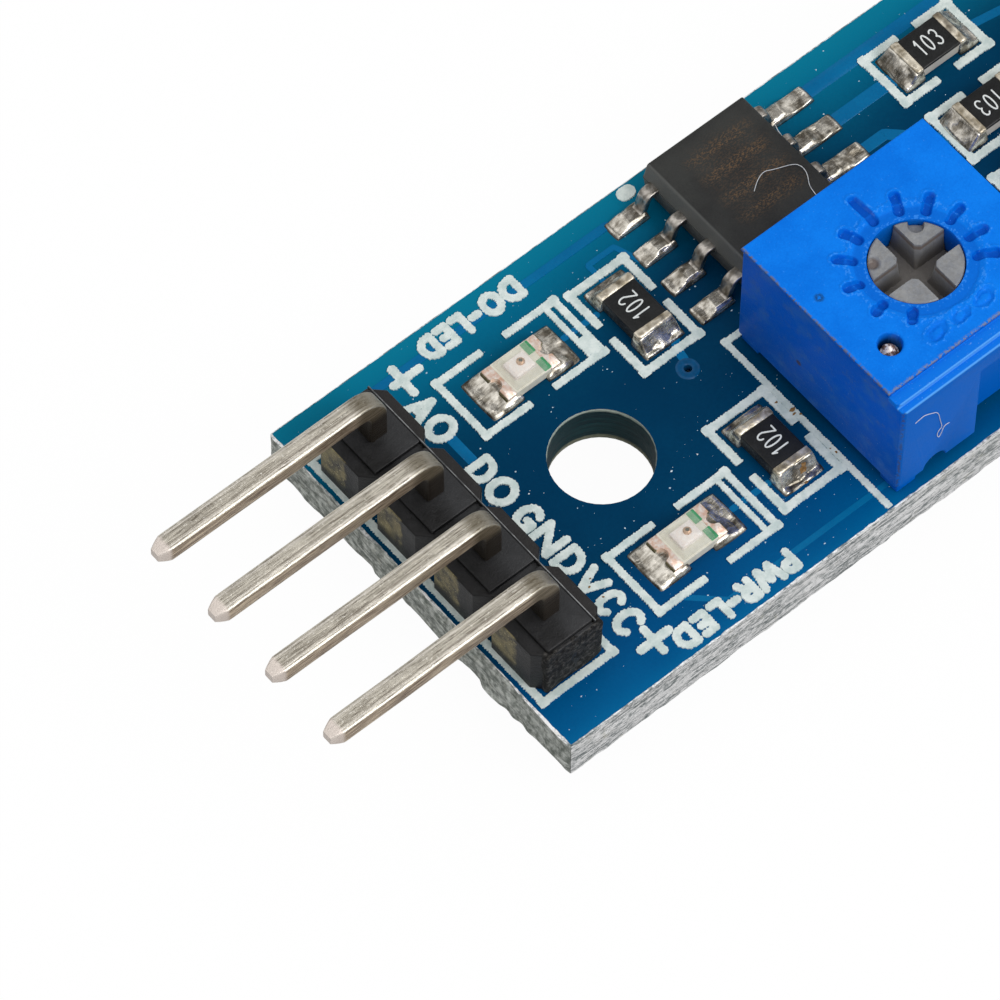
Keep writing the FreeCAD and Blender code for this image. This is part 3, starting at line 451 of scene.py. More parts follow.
fibre = mask_finish.noise((0.8, 0.8, 0.05), 4.0, 0.65, 5.0)
mask_finish.coats(
    "003455",
    (sheen_and_mottle, lighter),
    # Painted sheen: lighter and bluer bands towards the far and near edges.
    (board_y.ramp(5.4, 6.8) * 0.42, "0d86a0"),
    (board_y.ramp(-2.5, -5.0) * 0.3, "0154a0"),
    (board_y.ramp(-6.1, -6.9) * 0.35, "0672a6"),
    (1 - is_flat, mask_finish.tint(fibre.ramp(0.35, 0.65), "8b8f88", "dfe2dc")))
mask_finish.feed("Roughness", 0.75 - is_flat * (0.55 - speckle * 0.08))
mask_finish.bump((weave_marks * 0.5 + speckle * 0.5) * is_flat + fibre * (1 - is_flat) * 2.0, 0.006)
board_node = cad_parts["circuit_board"]
board_node.data.materials.clear()
board_node.data.materials.append(mask_finish.material)

# %% [markdown]
# ## The torn edge of the laminate
# The board was scored and snapped out of a panel, so its edges aren't clean planes: fibres stand out, the
# mask stops a little inside and a ragged pale lip shows. Painting that on a plane looks flat. Here a ribbon
# follows the outline; its two parameters are the way round the board and the way up its edge, and smooth
# random numbers push it outwards.

# %% Edge ribbons
BOARD_LOW, BOARD_HIGH = node_box("circuit_board")
torn = Finish("torn_laminate", "solder_mask", "b9bdb6", 0.8)
fibres = torn.noise((0.9, 0.9, 0.045), 4.0, 0.7, 2.0) * 0.45
fibres += torn.noise((1.7, 1.7, 0.12), 3.0, 0.6, 5.0) * 0.55
lumps = torn.noise(0.5, 3.0, 0.6, 7.0)
dark_streaks = torn.noise((1.6, 1.6, 0.07), 3.0, 0.6, 13.0).ramp(0.62, 0.7)
chopped = torn.noise((0.22, 0.22, 0.09), 3.0, 0.7, 33.0)
mottle = torn.noise(0.3, 4.0, 0.65, 27.0)
pale = torn.tint((fibres * 0.55 + chopped * 0.45).ramp(0.41, 0.56), "7b8384", "ffffff")
# Painted shade: the faces towards -X get this slightly darker grey in place of the pale one.
grey = torn.tint((fibres * 0.4 + mottle * 0.6).ramp(0.40, 0.62), "7c837c", "eef2ec")
torn.coats(
    pale,
    (torn.facing()[0].ramp(-0.3, -0.8), grey),
    (dark_streaks * 0.75, "55574f"),
    (lumps.ramp(0.6, 0.75) * 0.35, "c8c6b4"))
torn.bump(fibres + lumps * 0.4, 0.09)
EDGE_STEP = 0.06


def edge_ribbon(start, end, outward, proud, lip, seed):
    """A strip from start to end. Across it, the way goes up the edge and then inwards over the mask: the
    foot is at the underside, the rim at the board's top, and the inner border wanders by about lip."""
    start, end, outward = np.array(start, float), np.array(end, float), np.array(outward, float)
    length = np.linalg.norm(end - start)
    s = np.linspace(0, length, int(length / EDGE_STEP) + 2)
    up = np.concatenate([np.linspace(0.0, 1.0, 15), [1.0, 1.0, 1.0]])
    lift, way = np.meshgrid(up, s, indexing="ij")
    swell = 0.3 + 0.7 * np.sin(lift * math.pi) ** 0.5
    push = 0.012 + proud * 0.5 * (1 + rough(way * 1.1, lift * 9, seed)) * swell
    push += proud * 1.3 * np.maximum(rough(way * 0.7, lift * 5, seed + 1) - 0.45, 0)
    push += 0.6 * proud * rough(way * 3.1, 0.5, seed + 4) * np.clip(1 - lift * 3, 0, 1)
    push *= np.minimum(1.0, np.minimum(way, length - way) / 0.25 + 0.25)
    inward = lip * (1 + 0.5 * rough(s * 4, 0.5, seed + 2) + 0.5 * rough(s * 11, 0.5, seed + 3))
    height = lift * TOP
    push[-3:] = push[-4] * 0.4, -inward * 0.6, -inward
    height[-3:] = TOP + np.array([[0.012], [0.012], [-0.004]])
    flat = start + (end - start) * (way / length)[..., None] + outward * push[..., None]
    points = np.concatenate([flat, height[..., None]], -1)
    return points.reshape(-1, 3), weave(len(up), len(s))


x0, y0, x1, y1 = BOARD_LOW[0], BOARD_LOW[1], BOARD_HIGH[0], BOARD_HIGH[1]
ribbons = join([
    edge_ribbon((x0, y1), (x0, y0), (-1, 0), 0.10, 0.035, 11),
    edge_ribbon((x0, y0), (x1, y0), (0, -1), 0.05, 0.035, 21),
    edge_ribbon((x1, y0), (x1, y1), (1, 0), 0.06, 0.03, 31),
    edge_ribbon((x1, y1), (x0, y1), (0, 1), 0.015, 0.012, 41)])
put("board_edge", ribbons, torn, tidy=False)
print("edge ribbon points", len(ribbons[0]))

# %% [markdown]
# ## The mounting hole's wall
# The drilled hole's wall is painted dark olive, much darker than the cut edges of the same laminate, as
# painted shade inside the hole. It has fine rings from the drill and pale broken fibres at the rim.

# %% Hole wall
HOLE_RADIUS = 1.6
# Painted shade: the wall's colours are kept dark.
bore = Finish("drilled_wall", "solder_mask", "2a3a36", 0.6, Specular_IOR_Level=0.12)
drill_rings = bore.noise((1.5, 1.5, 0.04), 3.0, 0.6)
bore_z = bore.axes()[2]
bore.coats(
    bore.tint(drill_rings.ramp(0.35, 0.7), "08252d", "1b4246"),
    ((bore_z + drill_rings * 0.2).ramp(1.56, 1.66), "b9c4b8"),
    ((bore_z - drill_rings * 0.35).ramp(0.12, -0.08), "9a9c86"))
bore.bump(drill_rings, 0.02)
WALL_TURNS, WALL_ROWS = 96, 17
turn, level = np.meshgrid(circle(WALL_TURNS), np.linspace(0.0, TOP, WALL_ROWS))
radius = HOLE_RADIUS - 0.012 - 0.012 * (1 + rough(turn * 12, level * 14, 5))
radius[0] = radius[-1] = HOLE_RADIUS + 0.005
wall = turned_row((0, 0), radius, turn, level)
wall_faces = weave(WALL_ROWS, WALL_TURNS, closed=True, flip=True)
put("hole_wall", (wall.reshape(-1, 3), wall_faces), bore, tidy=False)
print("hole wall radius", radius.min(), "to", radius.max())

# %% [markdown]
# ## Copper tracks under the mask
# Tracks and pours are about 0.035 mm thick, and the mask follows them, so they show as slightly raised,
# lighter strips. Each is a path with a width. The same stroke function also draws the printed lines and
# letters, with a saw edge, because a print screen leaves one.

# %% Strokes on the board
def stroke(path, width, height, base=TOP, round_end=True, saw=0.0, step=0.045, seed=0):
    """A flat raised line: the path resampled every step, carried sideways by half the width each way, and
    drawn in to a half circle at both ends. saw roughens its sides in turn. Each stroke is a hair higher
    than the last, and slopes a little, so that strokes which cross don't share a plane."""
    path = np.asarray(path, float)
    legs = np.linalg.norm(np.diff(path, axis=0), axis=1)
    travel = travelled(path)
    half = width / 2
    reach = half if round_end else half * 0.25
    s = np.linspace(-reach, travel[-1] + reach, max(int((travel[-1] + 2 * reach) / step), 6))
    inside = np.clip(s, 0, travel[-1])
    points = np.stack([np.interp(inside, travel, path[:, k]) for k in range(2)], 1)
    first = (path[1] - path[0]) / legs[0]
    last = (path[-1] - path[-2]) / legs[-1]
    points += np.minimum(s, 0)[:, None] * first + np.maximum(s - travel[-1], 0)[:, None] * last
    heading = np.gradient(points, axis=0)
    heading /= np.linalg.norm(heading, axis=1)[:, None]
    normal = np.stack([-heading[:, 1], heading[:, 0]], 1)
    beyond = np.abs(s - inside) / reach
    shape = np.sqrt(np.clip(1 - beyond ** 2, 0, 1)) if round_end else np.where(beyond > 0.9, 0.8, 1.0)
    dice = np.random.RandomState(seed)
    teeth = saw * (dice.uniform(-1, 1, (2, len(s))) * 0.7 + np.where(np.arange(len(s)) % 2, 0.5, -0.5))
    left, right = [((half + side) * shape)[:, None] * normal for side in teeth]
    rim = [points + left, points + left * 0.92, points - right * 0.92, points - right]
    stroke.count += 1
    crest = base + height + 0.00055 * (stroke.count % 29) + 0.004 * s / max(travel[-1], 1e-6)
    foot = np.full(len(s), base - 0.004)
    grid = np.stack([np.column_stack([row, z]) for row, z in zip(rim, (foot, crest, crest, foot))])
    return grid.reshape(-1, 3), weave(4, len(s), flip=True)


stroke.count = 0
track_finish = Finish("masked_copper", "solder_mask", "1770a0", 0.2, Specular_IOR_Level=0.08)
track_cloud = track_finish.noise(1.5, 2.0)
track_speckle = track_finish.noise(0.08, 2.0, 0.6, 4.0)
track_finish.coats(track_finish.tint(track_cloud * 0.6 + track_speckle * 0.4, "03568a", "0b76a8"))
track_finish.bump(track_speckle, 0.004)
TRACKS = [
    ([(-2.95, 2.2), (-2.95, 3.2)], 0.35),
    ([(-1.2, -5.1), (-0.3, -5.95), (6.2, -5.95)], 0.2),
    ([(3.98, 1.0), (4.02, 1.25), (4.25, 1.75)], 0.3),
    ([(1.75, 3.75), (3.0, 3.75)], 0.22),
    ([(1.75, -3.75), (3.1, -3.75)], 0.22),
    ([(12.6, 5.66), (20.6, 5.66)], 0.5),
    ([(12.6, 4.36), (15.0, 4.36)], 0.5),
    ([(12.6, 3.07), (13.6, 3.07), (15.0, 1.7)], 0.4),
    ([(13.9, 2.2), (13.9, -4.4), (15.0, -5.6), (19.0, -5.6)], 0.3),
    ([(17.5, 4.44), (20.2, 4.0), (21.9, 1.7)], 0.3),
    ([(17.5, 1.67), (19.4, 1.67)], 0.3),
    ([(17.6, -1.1), (20.6, -1.1), (21.9, -1.7)], 0.3),
    ([(-4.0, 5.9), (5.2, 5.9), (5.6, 5.63)], 0.3),
    ([(5.2, 4.34), (4.9, 5.2), (3.9, 5.2), (3.9, 4.4)], 0.2)]
COPPER = 0.003
tracks = [stroke(path, width, COPPER + 0.0004 * i, seed=i) for i, (path, width) in enumerate(TRACKS)]
put("copper_tracks", join(tracks), track_finish, tidy=False)

# %% Via
VIA = (3.85, 0.65)
VIA_PROFILE = ((0.12, -0.30), (0.125, 0.006), (0.16, 0.022), (0.27, 0.024), (0.34, 0.016), (0.37, -0.003))
via_finish = mottled("masked_via", "solder_mask", 0.2, 0.15, "033a60", "0a5a8c", Specular_IOR_Level=0.2)
turn = circle(48)
rings = []
for radius, height in VIA_PROFILE:
    wander = 1 + 0.05 * rough(turn * 1.4, 0.5, 9) * (radius > 0.14)
    rings.append(turned_row(VIA, radius * wander, turn, TOP + height))
via_faces = weave(len(VIA_PROFILE), len(turn), closed=True)
put("via_ring", (np.array(rings).reshape(-1, 3), via_faces), via_finish, smooth=60)
print("tracks", len(TRACKS))

# %% [markdown]
# ## Printed lines and letters
# The white print names the four terminals and the two LEDs in plain functional words, and boxes in the
# parts. Text objects would bring a font of their own; screen print on a small board is drawn with one round
# pen, so each letter is a few strokes in a unit square, and straight or bent copies of one stroke give all
# of it.

# %% Stroke letters
def bow(cx, cy, rx, ry, start, end, count=14):
    """Part of an ellipse, from start to end in degrees."""
    a = np.radians(np.linspace(start, end, count))
    return [(cx + rx * math.cos(t), cy + ry * math.sin(t)) for t in a]


UPRIGHT = [(0, 0), (0, 1)]
P_BOWL = [(0, 1), (0.5, 1)] + bow(0.55, 0.74, 0.45, 0.26, 90, -90) + [(0, 0.48)]
LETTERS = {
    "A": [[(0, 0), (0.5, 1)], [(0.5, 1), (1, 0)], [(0.22, 0.32), (0.78, 0.32)]],
    "C": [bow(0.52, 0.5, 0.5, 0.5, 42, 318)],
    "D": [UPRIGHT, [(0, 1), (0.35, 1)] + bow(0.35, 0.5, 0.65, 0.5, 90, -90) + [(0, 0)]],
    "E": [UPRIGHT, [(0, 1), (0.95, 1)], [(0, 0.52), (0.8, 0.52)], [(0, 0), (0.95, 0)]],
    "G": [bow(0.52, 0.5, 0.5, 0.5, 42, 335), [(0.6, 0.42), (1.0, 0.42)], [(1.0, 0.42), (1.0, 0.1)]],
    "L": [[(0, 1), (0, 0)], [(0, 0), (0.95, 0)]],
    "N": [UPRIGHT, [(0, 1), (1, 0)], [(1, 0), (1, 1)]],
    "O": [bow(0.5, 0.5, 0.5, 0.5, 90, 450, 22)],
    "P": [UPRIGHT, P_BOWL],
    "R": [UPRIGHT, P_BOWL, [(0.5, 0.48), (1, 0)]],
    "V": [[(0, 1), (0.5, 0)], [(0.5, 0), (1, 1)]],
    "W": [[(0, 1), (0.22, 0)], [(0.22, 0), (0.5, 0.75)], [(0.5, 0.75), (0.78, 0)], [(0.78, 0), (1, 1)]],
    "-": [[(0.0, 0.5), (1.0, 0.5)]],
    "0": [bow(0.5, 0.5, 0.42, 0.5, 90, 450, 22)],
    "1": [[(0.3, 0.78), (0.6, 1)], [(0.6, 1), (0.6, 0)]],
    "2": [bow(0.5, 0.72, 0.45, 0.28, 165, -25) + [(0.05, 0.02)], [(0.05, 0), (0.98, 0)]],
    "3": [bow(0.47, 0.75, 0.42, 0.25, 150, -75), bow(0.47, 0.26, 0.47, 0.26, 75, -150)],
}


def letter(sign, corner, run, rise, pen, height, saw, base=TOP, seed=0):
    """The strokes of one letter in the cell that starts at corner and spans run (its width) and rise (its
    height)."""
    corner, run, rise = np.array(corner, float), np.array(run, float), np.array(rise, float)
    trim_u, trim_v = pen / 2 / np.linalg.norm(run), pen / 2 / np.linalg.norm(rise)
    made = []
    for number, line in enumerate(LETTERS[sign]):
        line = np.array(line, float)
        u = trim_u + line[:, :1] * (1 - 2 * trim_u)
        v = trim_v + line[:, 1:] * (1 - 2 * trim_v)
        level = height + 0.0006 * (number + seed % 3)
        made.append(stroke(corner + u * run + v * rise, pen, level, base, True, saw, min(0.045, pen / 3),
                           seed * 7 + number))
    return made


ink_finish = Finish("screen_print", "solder_mask", "d3dfdb", 0.55)
ink_mottle = ink_finish.noise(0.35, 3.0, 0.6)
pin_holes = ink_finish.noise(0.07, 2.0, 0.5, 8.0)
ink_finish.coats(
    ink_finish.tint(ink_mottle.ramp(0.3, 0.7), "c3d2cf", "e2ebe7"),
    (pin_holes.ramp(0.70, 0.78) * 0.55, "5b8498"))
ink_finish.bump(ink_mottle + pin_holes, 0.012)
PEN = 0.26
INK = 0.031
SAW = 0.022
print("letters", len(LETTERS))

# %% Printed words
PIN_WORDS = [("A", 4.95, 4.15), ("O", 4.15, 3.22), ("D", 2.22, 1.45), ("O", 1.42, 0.45), ("G", 0.2, -0.62),
             ("N", -0.65, -1.6), ("D", -1.68, -2.5), ("V", -2.55, -3.45), ("C", -3.48, -4.22),
             ("C", -4.25, -5.08)]
UPPER_WORD = [("D", 1.98, 1.24), ("O", 1.28, 0.5), ("-", 0.5, 0.0), ("L", 0.0, -0.58), ("E", -0.55, -1.15),
              ("D", -1.12, -1.82)]
LOWER_WORD = [("P", 2.1, 1.5), ("W", 1.55, 0.6), ("R", 0.62, 0.0), ("-", 0.02, -0.48), ("L", -0.45, -1.05),
              ("E", -1.05, -1.68), ("D", -1.68, -2.42)]
WORD_LEFT, WORD_TALL = -3.5, 1.06
prints = []
for index, (sign, start, end) in enumerate(PIN_WORDS):
    prints += letter(sign, (WORD_LEFT, start), (0, end - start), (WORD_TALL, 0), PEN, INK, SAW, seed=index)
for word, foot_y, tall, first_seed in ((UPPER_WORD, 6.44, -0.9, 20), (LOWER_WORD, -5.66, -0.86, 40)):
    for index, (sign, start, end) in enumerate(word):
        run, seed = (end - start, 0), index + first_seed
        prints += letter(sign, (start, foot_y), run, (0, tall), PEN, INK, SAW, seed=seed)
PLUS_SIGNS = [
    ([(-2.78, 5.12), (-2.78, 6.12)], 0.3), ([(-3.1, 5.66), (-2.14, 5.66)], 0.28),
    ([(-2.81, -5.14), (-2.81, -6.02)], 0.28), ([(-3.3, -5.6), (-2.28, -5.6)], 0.3)]
for index, (path, width) in enumerate(PLUS_SIGNS):
    prints.append(stroke(path, width, INK + 0.001 * index, saw=SAW, seed=60 + index))

# %% Printed boxes
def corner_lines(points, width, seed):
    """Straight printed lines through points, each end square."""
    made = []
    for index in range(len(points) - 1):
        a, b = np.array(points[index], float), np.array(points[index + 1], float)
        shift = (b - a) / np.linalg.norm(b - a) * width / 2
        made.append(stroke([a - shift * (index > 0), b + shift * (index < len(points) - 2)], width,
                           INK + 0.0007 * (seed % 5 + index), round_end=False, saw=SAW, seed=seed + index))
    return made


def bracket_pair(low, high, gap, width, seed, double=None, turned=False):
    """Two facing brackets round a chip. low and high are the outer corners, and the brackets stop at both
    sides of the gap. double = (place, slit's low end, slit's high end) adds the broken double bar beside an
    LED."""
    w = width / 2
    (lx, ly), (hx, hy) = low, high
    made = []
    for order, (stop, end_x, end_y) in enumerate(zip(gap, (lx + w, hx - w), (ly + w, hy - w))):
        if turned:
            path = [(lx + w, stop), (lx + w, end_y), (hx - w, end_y), (hx - w, stop)]
        else:
            path = [(stop, ly + w), (end_x, ly + w), (end_x, hy - w), (stop, hy - w)]
        made += corner_lines(path, width, seed + 5 * order)
    if double:
        inner, slit_low, slit_high = double
        made += corner_lines([(inner + 0.1, ly + w), (inner + 0.1, hy - w)], 0.2, seed + 9)
        for lo, hi in ((ly, slit_low), (slit_high, hy)):
            middle = (inner + hx) / 2
            made += corner_lines([(middle, lo + 0.05), (middle, hi - 0.05)], 0.34, seed + 11)
    return made


LED_PEN, CHIP_PEN = 0.25, 0.28
prints += bracket_pair((-2.23, 2.53), (2.47, 5.05), (-0.42, 0.46), LED_PEN, 100, double=(1.88, 3.45, 4.75))
prints += bracket_pair((-2.2, -5.12), (2.5, -2.55), (-0.35, 0.53), LED_PEN, 120, double=(1.92, -4.85, -2.8))
prints += bracket_pair((2.66, 1.21), (5.0, 4.87), (2.8, 3.37), CHIP_PEN, 140, turned=True)
prints += bracket_pair((2.76, -4.86), (5.16, -1.18), (-3.3, -2.72), CHIP_PEN, 160, turned=True)
prints += bracket_pair((14.68, 3.35), (18.24, 5.53), (16.1, 16.82), CHIP_PEN, 180)
prints += bracket_pair((14.88, 0.58), (18.44, 2.76), (16.3, 17.02), CHIP_PEN, 200)
prints += bracket_pair((14.88, -2.19), (18.44, -0.01), (16.3, 17.02), CHIP_PEN, 220)
BOXES = [
    ([(-3.95, -4.5), (-3.95, -5.12), (-6.54, -5.12), (-6.54, 5.28), (-3.95, 5.28)], 0.26),
    ([(12.9, 0.62), (5.26, 0.62), (5.26, -6.6)], 0.22),
    ([(20.0, 3.2), (23.9, 3.2), (23.9, -3.2), (20.0, -3.2)], 0.28)]
for index, (path, width) in enumerate(BOXES):
    prints += corner_lines(path, width, 240 + 20 * index)
prints.append(stroke([(6.32, 6.40), (6.46, 6.40)], 0.5, INK, saw=0.01, seed=300))
put("screen_print", join(prints), ink_finish, tidy=False)
print("printed strokes", len(prints))

# %% [markdown]
# ## Header plastic
# The header is a strip of four eight-sided blocks moulded in black nylon. The CAD solid has those blocks and
# the notches, but its edges are knife sharp, and moulded edges never are. So its outline is drawn again as a
# stack whose top edge rounds over, with the thin raised strip and the low plateau round each pin on top.
# Both ends were snapped off a longer strip: the near one is a crumbled block of its own, the far one a torn
# face. On the faces that look towards the pins' free ends a golden patch is painted as a reflection of the
# pins, with pale dust crumbs in it. The top is painted a lighter grey away from the pin arms as a painted
# sheen, and a painted highlight runs along the raised strip's edge.

# %% Header body
PITCH, ROW_MIDDLE = 2.54, 0.15
PIN_ROWS = [ROW_MIDDLE + PITCH * (1.5 - i) for i in range(4)]
HEAD_LOW_X, HEAD_HIGH_X, HEAD_LOW_Y, HEAD_TOP, CORNER_CUT = -6.51, -4.03, -4.93, 3.5, 0.42
RAISED_X, RAISED_HALF_X, RAISED_HALF_Y, STRIP_X = -5.29, 0.83, 1.15, -4.435
moulding = Finish("header_moulding", "header_plastic", "262626", 0.4, Specular_IOR_Level=0.35)
head_x, head_y, head_z = moulding.axes()
head_face_x, head_face_z = moulding.facing()[::2]
grain = moulding.noise(0.05, 3.0, 0.6)
patches = moulding.noise(0.45, 3.0, 0.6, 4.0)
crumbs = moulding.noise(0.06, 3.0, 0.7, 17.0).ramp(0.60, 0.70)
block_share = ((head_y - ROW_MIDDLE) * (1 / PITCH) + 4.0).maths("FRACT")
# Painted reflection: a golden patch on the -X faces, half a pitch wide beside each pin, where the pins are
# mirrored, with pale dust crumbs in it.
reflecting_side = head_face_x.ramp(-0.35, -0.75) * head_x.ramp(-6.25, -6.4) * head_z.ramp(1.8, 2.3)
pin_reflection_and_dust = reflecting_side * (block_share + patches * 0.16).ramp(0.46, 0.52)
# Painted highlight along the raised strip's edge.
strip_edge_highlight = head_x.near(-4.41, 0.035, 0.012) * head_z.ramp(3.60, 3.64)
strip_side = head_x.ramp(-4.39, -4.35) * head_face_z.ramp(0.5, 0.9)
moulding.coats(
    moulding.tint(patches.ramp(0.3, 0.75), "0f0f10", "1c1c1e"),
    # Painted sheen: the top faces away from the pin arms are painted a lighter grey.
    (head_face_z.ramp(0.8, 0.95) * head_x.ramp(-5.6, -5.0) * 0.42, "414244"),
    (pin_reflection_and_dust * patches.ramp(0.25, 0.7) * 0.75, "a89c70"),
    (crumbs * pin_reflection_and_dust, "efe2b4"),
    (strip_edge_highlight * (patches.ramp(0.35, 0.6) * 0.6 + 0.2), "a9abab"),
    (strip_side * 0.6, "1a1512"))
moulding.feed("Roughness", 0.30 + patches * 0.3)
moulding.bump(grain * 0.5 + patches, 0.03)


def strip_outline(inset):
    """The strip seen from above: four blocks whose corners are cut off at 45 degrees. A corner moves
    inwards by inset over both its sides: along the sum of their normals, divided by one plus the normals'
    product."""
    starts = [HEAD_LOW_Y + PITCH * k for k in range(4)]
    right, left = HEAD_HIGH_X, HEAD_LOW_X
    points = []
    for y in starts:
        points += [(right - CORNER_CUT, y), (right, y + CORNER_CUT), (right, y + PITCH - CORNER_CUT)]
    points.append((right - CORNER_CUT, starts[-1] + PITCH))
    for y in starts[::-1]:
        points += [(left + CORNER_CUT, y + PITCH), (left, y + PITCH - CORNER_CUT), (left, y + CORNER_CUT)]
    points.append((left + CORNER_CUT, starts[0]))
    points = np.array(points)
    legs = np.roll(points, -1, 0) - points
    normal = np.stack([legs[:, 1], -legs[:, 0]], 1) / np.linalg.norm(legs, axis=1)[:, None]
    before = np.roll(normal, 1, 0)
    return points - inset * (normal + before) / (1 + np.sum(normal * before, 1))[:, None]


rings = []
for height, inset in soft_levels(TOP, HEAD_TOP, 0.06):
    flat = strip_outline(inset)
    rings.append(np.column_stack([flat, np.full(len(flat), height)]))
put("header_block", stack(rings), moulding, stands_for=("header_body",), smooth=40)
STRIP_LEVELS = soft_levels(HEAD_TOP - 0.05, HEAD_TOP + 0.15, 0.015)
RAISED_LEVELS = soft_levels(HEAD_TOP - 0.05, HEAD_TOP + 0.145, 0.035)
raised = [block((STRIP_X, ROW_MIDDLE), 0.03, 5.03, 0.01, STRIP_LEVELS)]
raised += [block((RAISED_X, y), RAISED_HALF_X, RAISED_HALF_Y, 0.05, RAISED_LEVELS) for y in PIN_ROWS]
put("header_bar", join(raised), moulding, smooth=40)

# %% Header ends
NEAR_END, FAR_END = (-5.24, -4.80), (-5.27, 5.23)
snapped = Finish("snapped_plastic", "header_plastic", "2c2d30", 0.6, Specular_IOR_Level=0.2)
chips = snapped.noise(0.16, 4.0, 0.75)
snapped.coats(snapped.tint(chips.ramp(0.44, 0.70), "141312", "5c5a57"))
snapped.bump(chips, 0.13)

rings = []
flat = even_ring(outline(1.10, 0.20, 0.09, 12), 220)
away = np.clip(flat / np.linalg.norm(flat * np.array([0.2, 1.0]), axis=1)[:, None], -1, 1)
for level in np.linspace(0, 1, 22):
    crumble = 0.5 * rough(flat[:, 0] * 3.1 + 20, level * 3.3 + flat[:, 1] * 3, 71)
    crumble += 0.3 * rough(flat[:, 0] * 9, level * 9 + 7, 72)
    shrink = 0.05 * max(0.0, (level - 0.93) / 0.07) + 0.03 * max(0.0, (0.07 - level) / 0.07)
    ring = flat + away * (0.07 * crumble - 0.05 - shrink)[:, None]
    top_wander = 0.05 * rough(ring[:, 0] * 4, 0.5, 73) * level
    rings.append(np.column_stack([ring + np.array(NEAR_END), TOP + 0.02 + 1.88 * level + top_wander]))
put("header_end_near", stack(rings), snapped, smooth=60)

END_STEPS = 41
u, v = np.meshgrid(np.linspace(-1, 1, END_STEPS), np.linspace(0, 1, END_STEPS), indexing="ij")
border = np.clip((1 - np.abs(u)) * 5, 0, 1) * np.clip(v * 6, 0, 1) * np.clip((1 - v) * 6, 0, 1)
ridge = 0.5 + 0.5 * rough(u * 3.1, v * 3.3, 81) + 0.35 * rough(u * 8, v * 8, 82)
out = border * (0.03 + 0.10 * np.clip(ridge, 0, 1.4)) - 0.012
far_face = np.stack([FAR_END[0] + u * 0.75, FAR_END[1] + out, TOP + 0.06 + v * 1.76], -1)
far_shape = (far_face.reshape(-1, 3), weave(END_STEPS, END_STEPS))
put("header_end_far", far_shape, snapped, tidy=False, smooth=60)
print("header ends at y", NEAR_END[1], "and", FAR_END[1])

# %% [markdown]
# ## Header pins
# Each pin is one piece of square plated wire: up through the plastic, round a bend, and out past the
# board's edge to a tip that a die has squeezed narrower. A rounded square profile carried along that path
# gives the bend and the tip in one surface. The plating is streaky along the wire. Its sides are painted
# browner as a painted reflection, its corners and two lines along its top are painted highlights, and it is
# painted darker towards the bend and nearly black on the upright part as painted shade.

# %% Pins
PIN_X, PIN_HALF, PIN_ARM = -5.27, 0.32, TOP + 3.7
PIN_TIP_X, PIN_FOOT = -13.2, -1.4
BEND = 0.58

plating = Finish("pin_plating", "pin_metal", "b5ab98", 0.3, 0.5)
on_end, on_side, on_top = [way.size() for way in plating.facing()]
on_end, on_side, on_top = on_end.ramp(0.5, 0.9), on_side.ramp(0.8, 0.97), on_top.ramp(0.8, 0.97)
# Painted highlight on the rounded corners of the wire.
corner_highlight = 1 - on_side.larger(on_top).larger(on_end)
pin_x, pin_y, pin_z = plating.axes()
streaks = plating.noise((2.2, 0.07, 0.07), 4.0, 0.6)
fine_streaks = plating.noise((0.6, 0.03, 0.03), 3.0, 0.6, 6.0)
tarnish = plating.noise(0.6, 3.0, 0.65, 12.0)
pits = plating.noise(0.09, 3.0, 0.6, 21.0)
across_pin = (((pin_y - ROW_MIDDLE) * (1 / PITCH) + 4.0).maths("FRACT") - 0.5) * PITCH
streaky_top = (streaks * 0.45 + tarnish * 0.25 + fine_streaks * 0.45).ramp(0.38, 0.72)
streaky_side = (streaks * 0.4 + fine_streaks * 0.6).ramp(0.35, 0.68)
plating.coats(
    plating.tint(streaky_top, "7b7263", "e6dfd0"),
    (pits.ramp(0.56, 0.70) * 0.7, "fbf6ec"),
    # Painted highlights: two light lines along each pin's top.
    (across_pin.size().near(0.20, 0.05) * 0.55, "fff8ee"),
    (across_pin.near(-0.11, 0.05, 0.01) * streaks.ramp(0.4, 0.6) * 0.6, "5a4a3e"),
    (fine_streaks.ramp(0.42, 0.32) * 0.7, "54483f"),
    # Painted reflection: the sides are painted browner.
    (on_side, plating.tint(streaky_side, "5d4431", "ead7bb")),
    (corner_highlight * (0.55 + fine_streaks * 0.5), "fbf7ea"),
    (pin_x.ramp(-12.75, -12.9) * 0.8, "f0e3da"),
    # Painted shade: darker towards the bend, and nearly black on the upright part above the plastic.
    (pin_x.ramp(-6.25, -5.75) * 0.72, "5e5540"),
    (pin_z.ramp(5.1, 4.6) * 0.9, "211b17"))
plating.feed("Roughness", 0.26 + pits * 0.22)
plating.bump(streaks * 0.4 + fine_streaks * 0.5 + pits * 0.5 + tarnish * 0.4, 0.022)


def pin_path(row_y):
    """Up through the plastic, round a quarter circle of radius BEND and out to the tip."""
    rise = np.linspace(PIN_FOOT, PIN_ARM - BEND, 34)
    quarter = np.linspace(0, math.pi / 2, 14)[1:]
    run = np.linspace(PIN_X - BEND, PIN_TIP_X, 60)[1:]
    x = np.concatenate([np.full(len(rise), PIN_X), PIN_X - BEND * (1 - np.cos(quarter)), run])
    z = np.concatenate([rise, PIN_ARM - BEND + BEND * np.sin(quarter), np.full(len(run), PIN_ARM)])
    return np.column_stack([x, np.full(len(x), row_y), z])


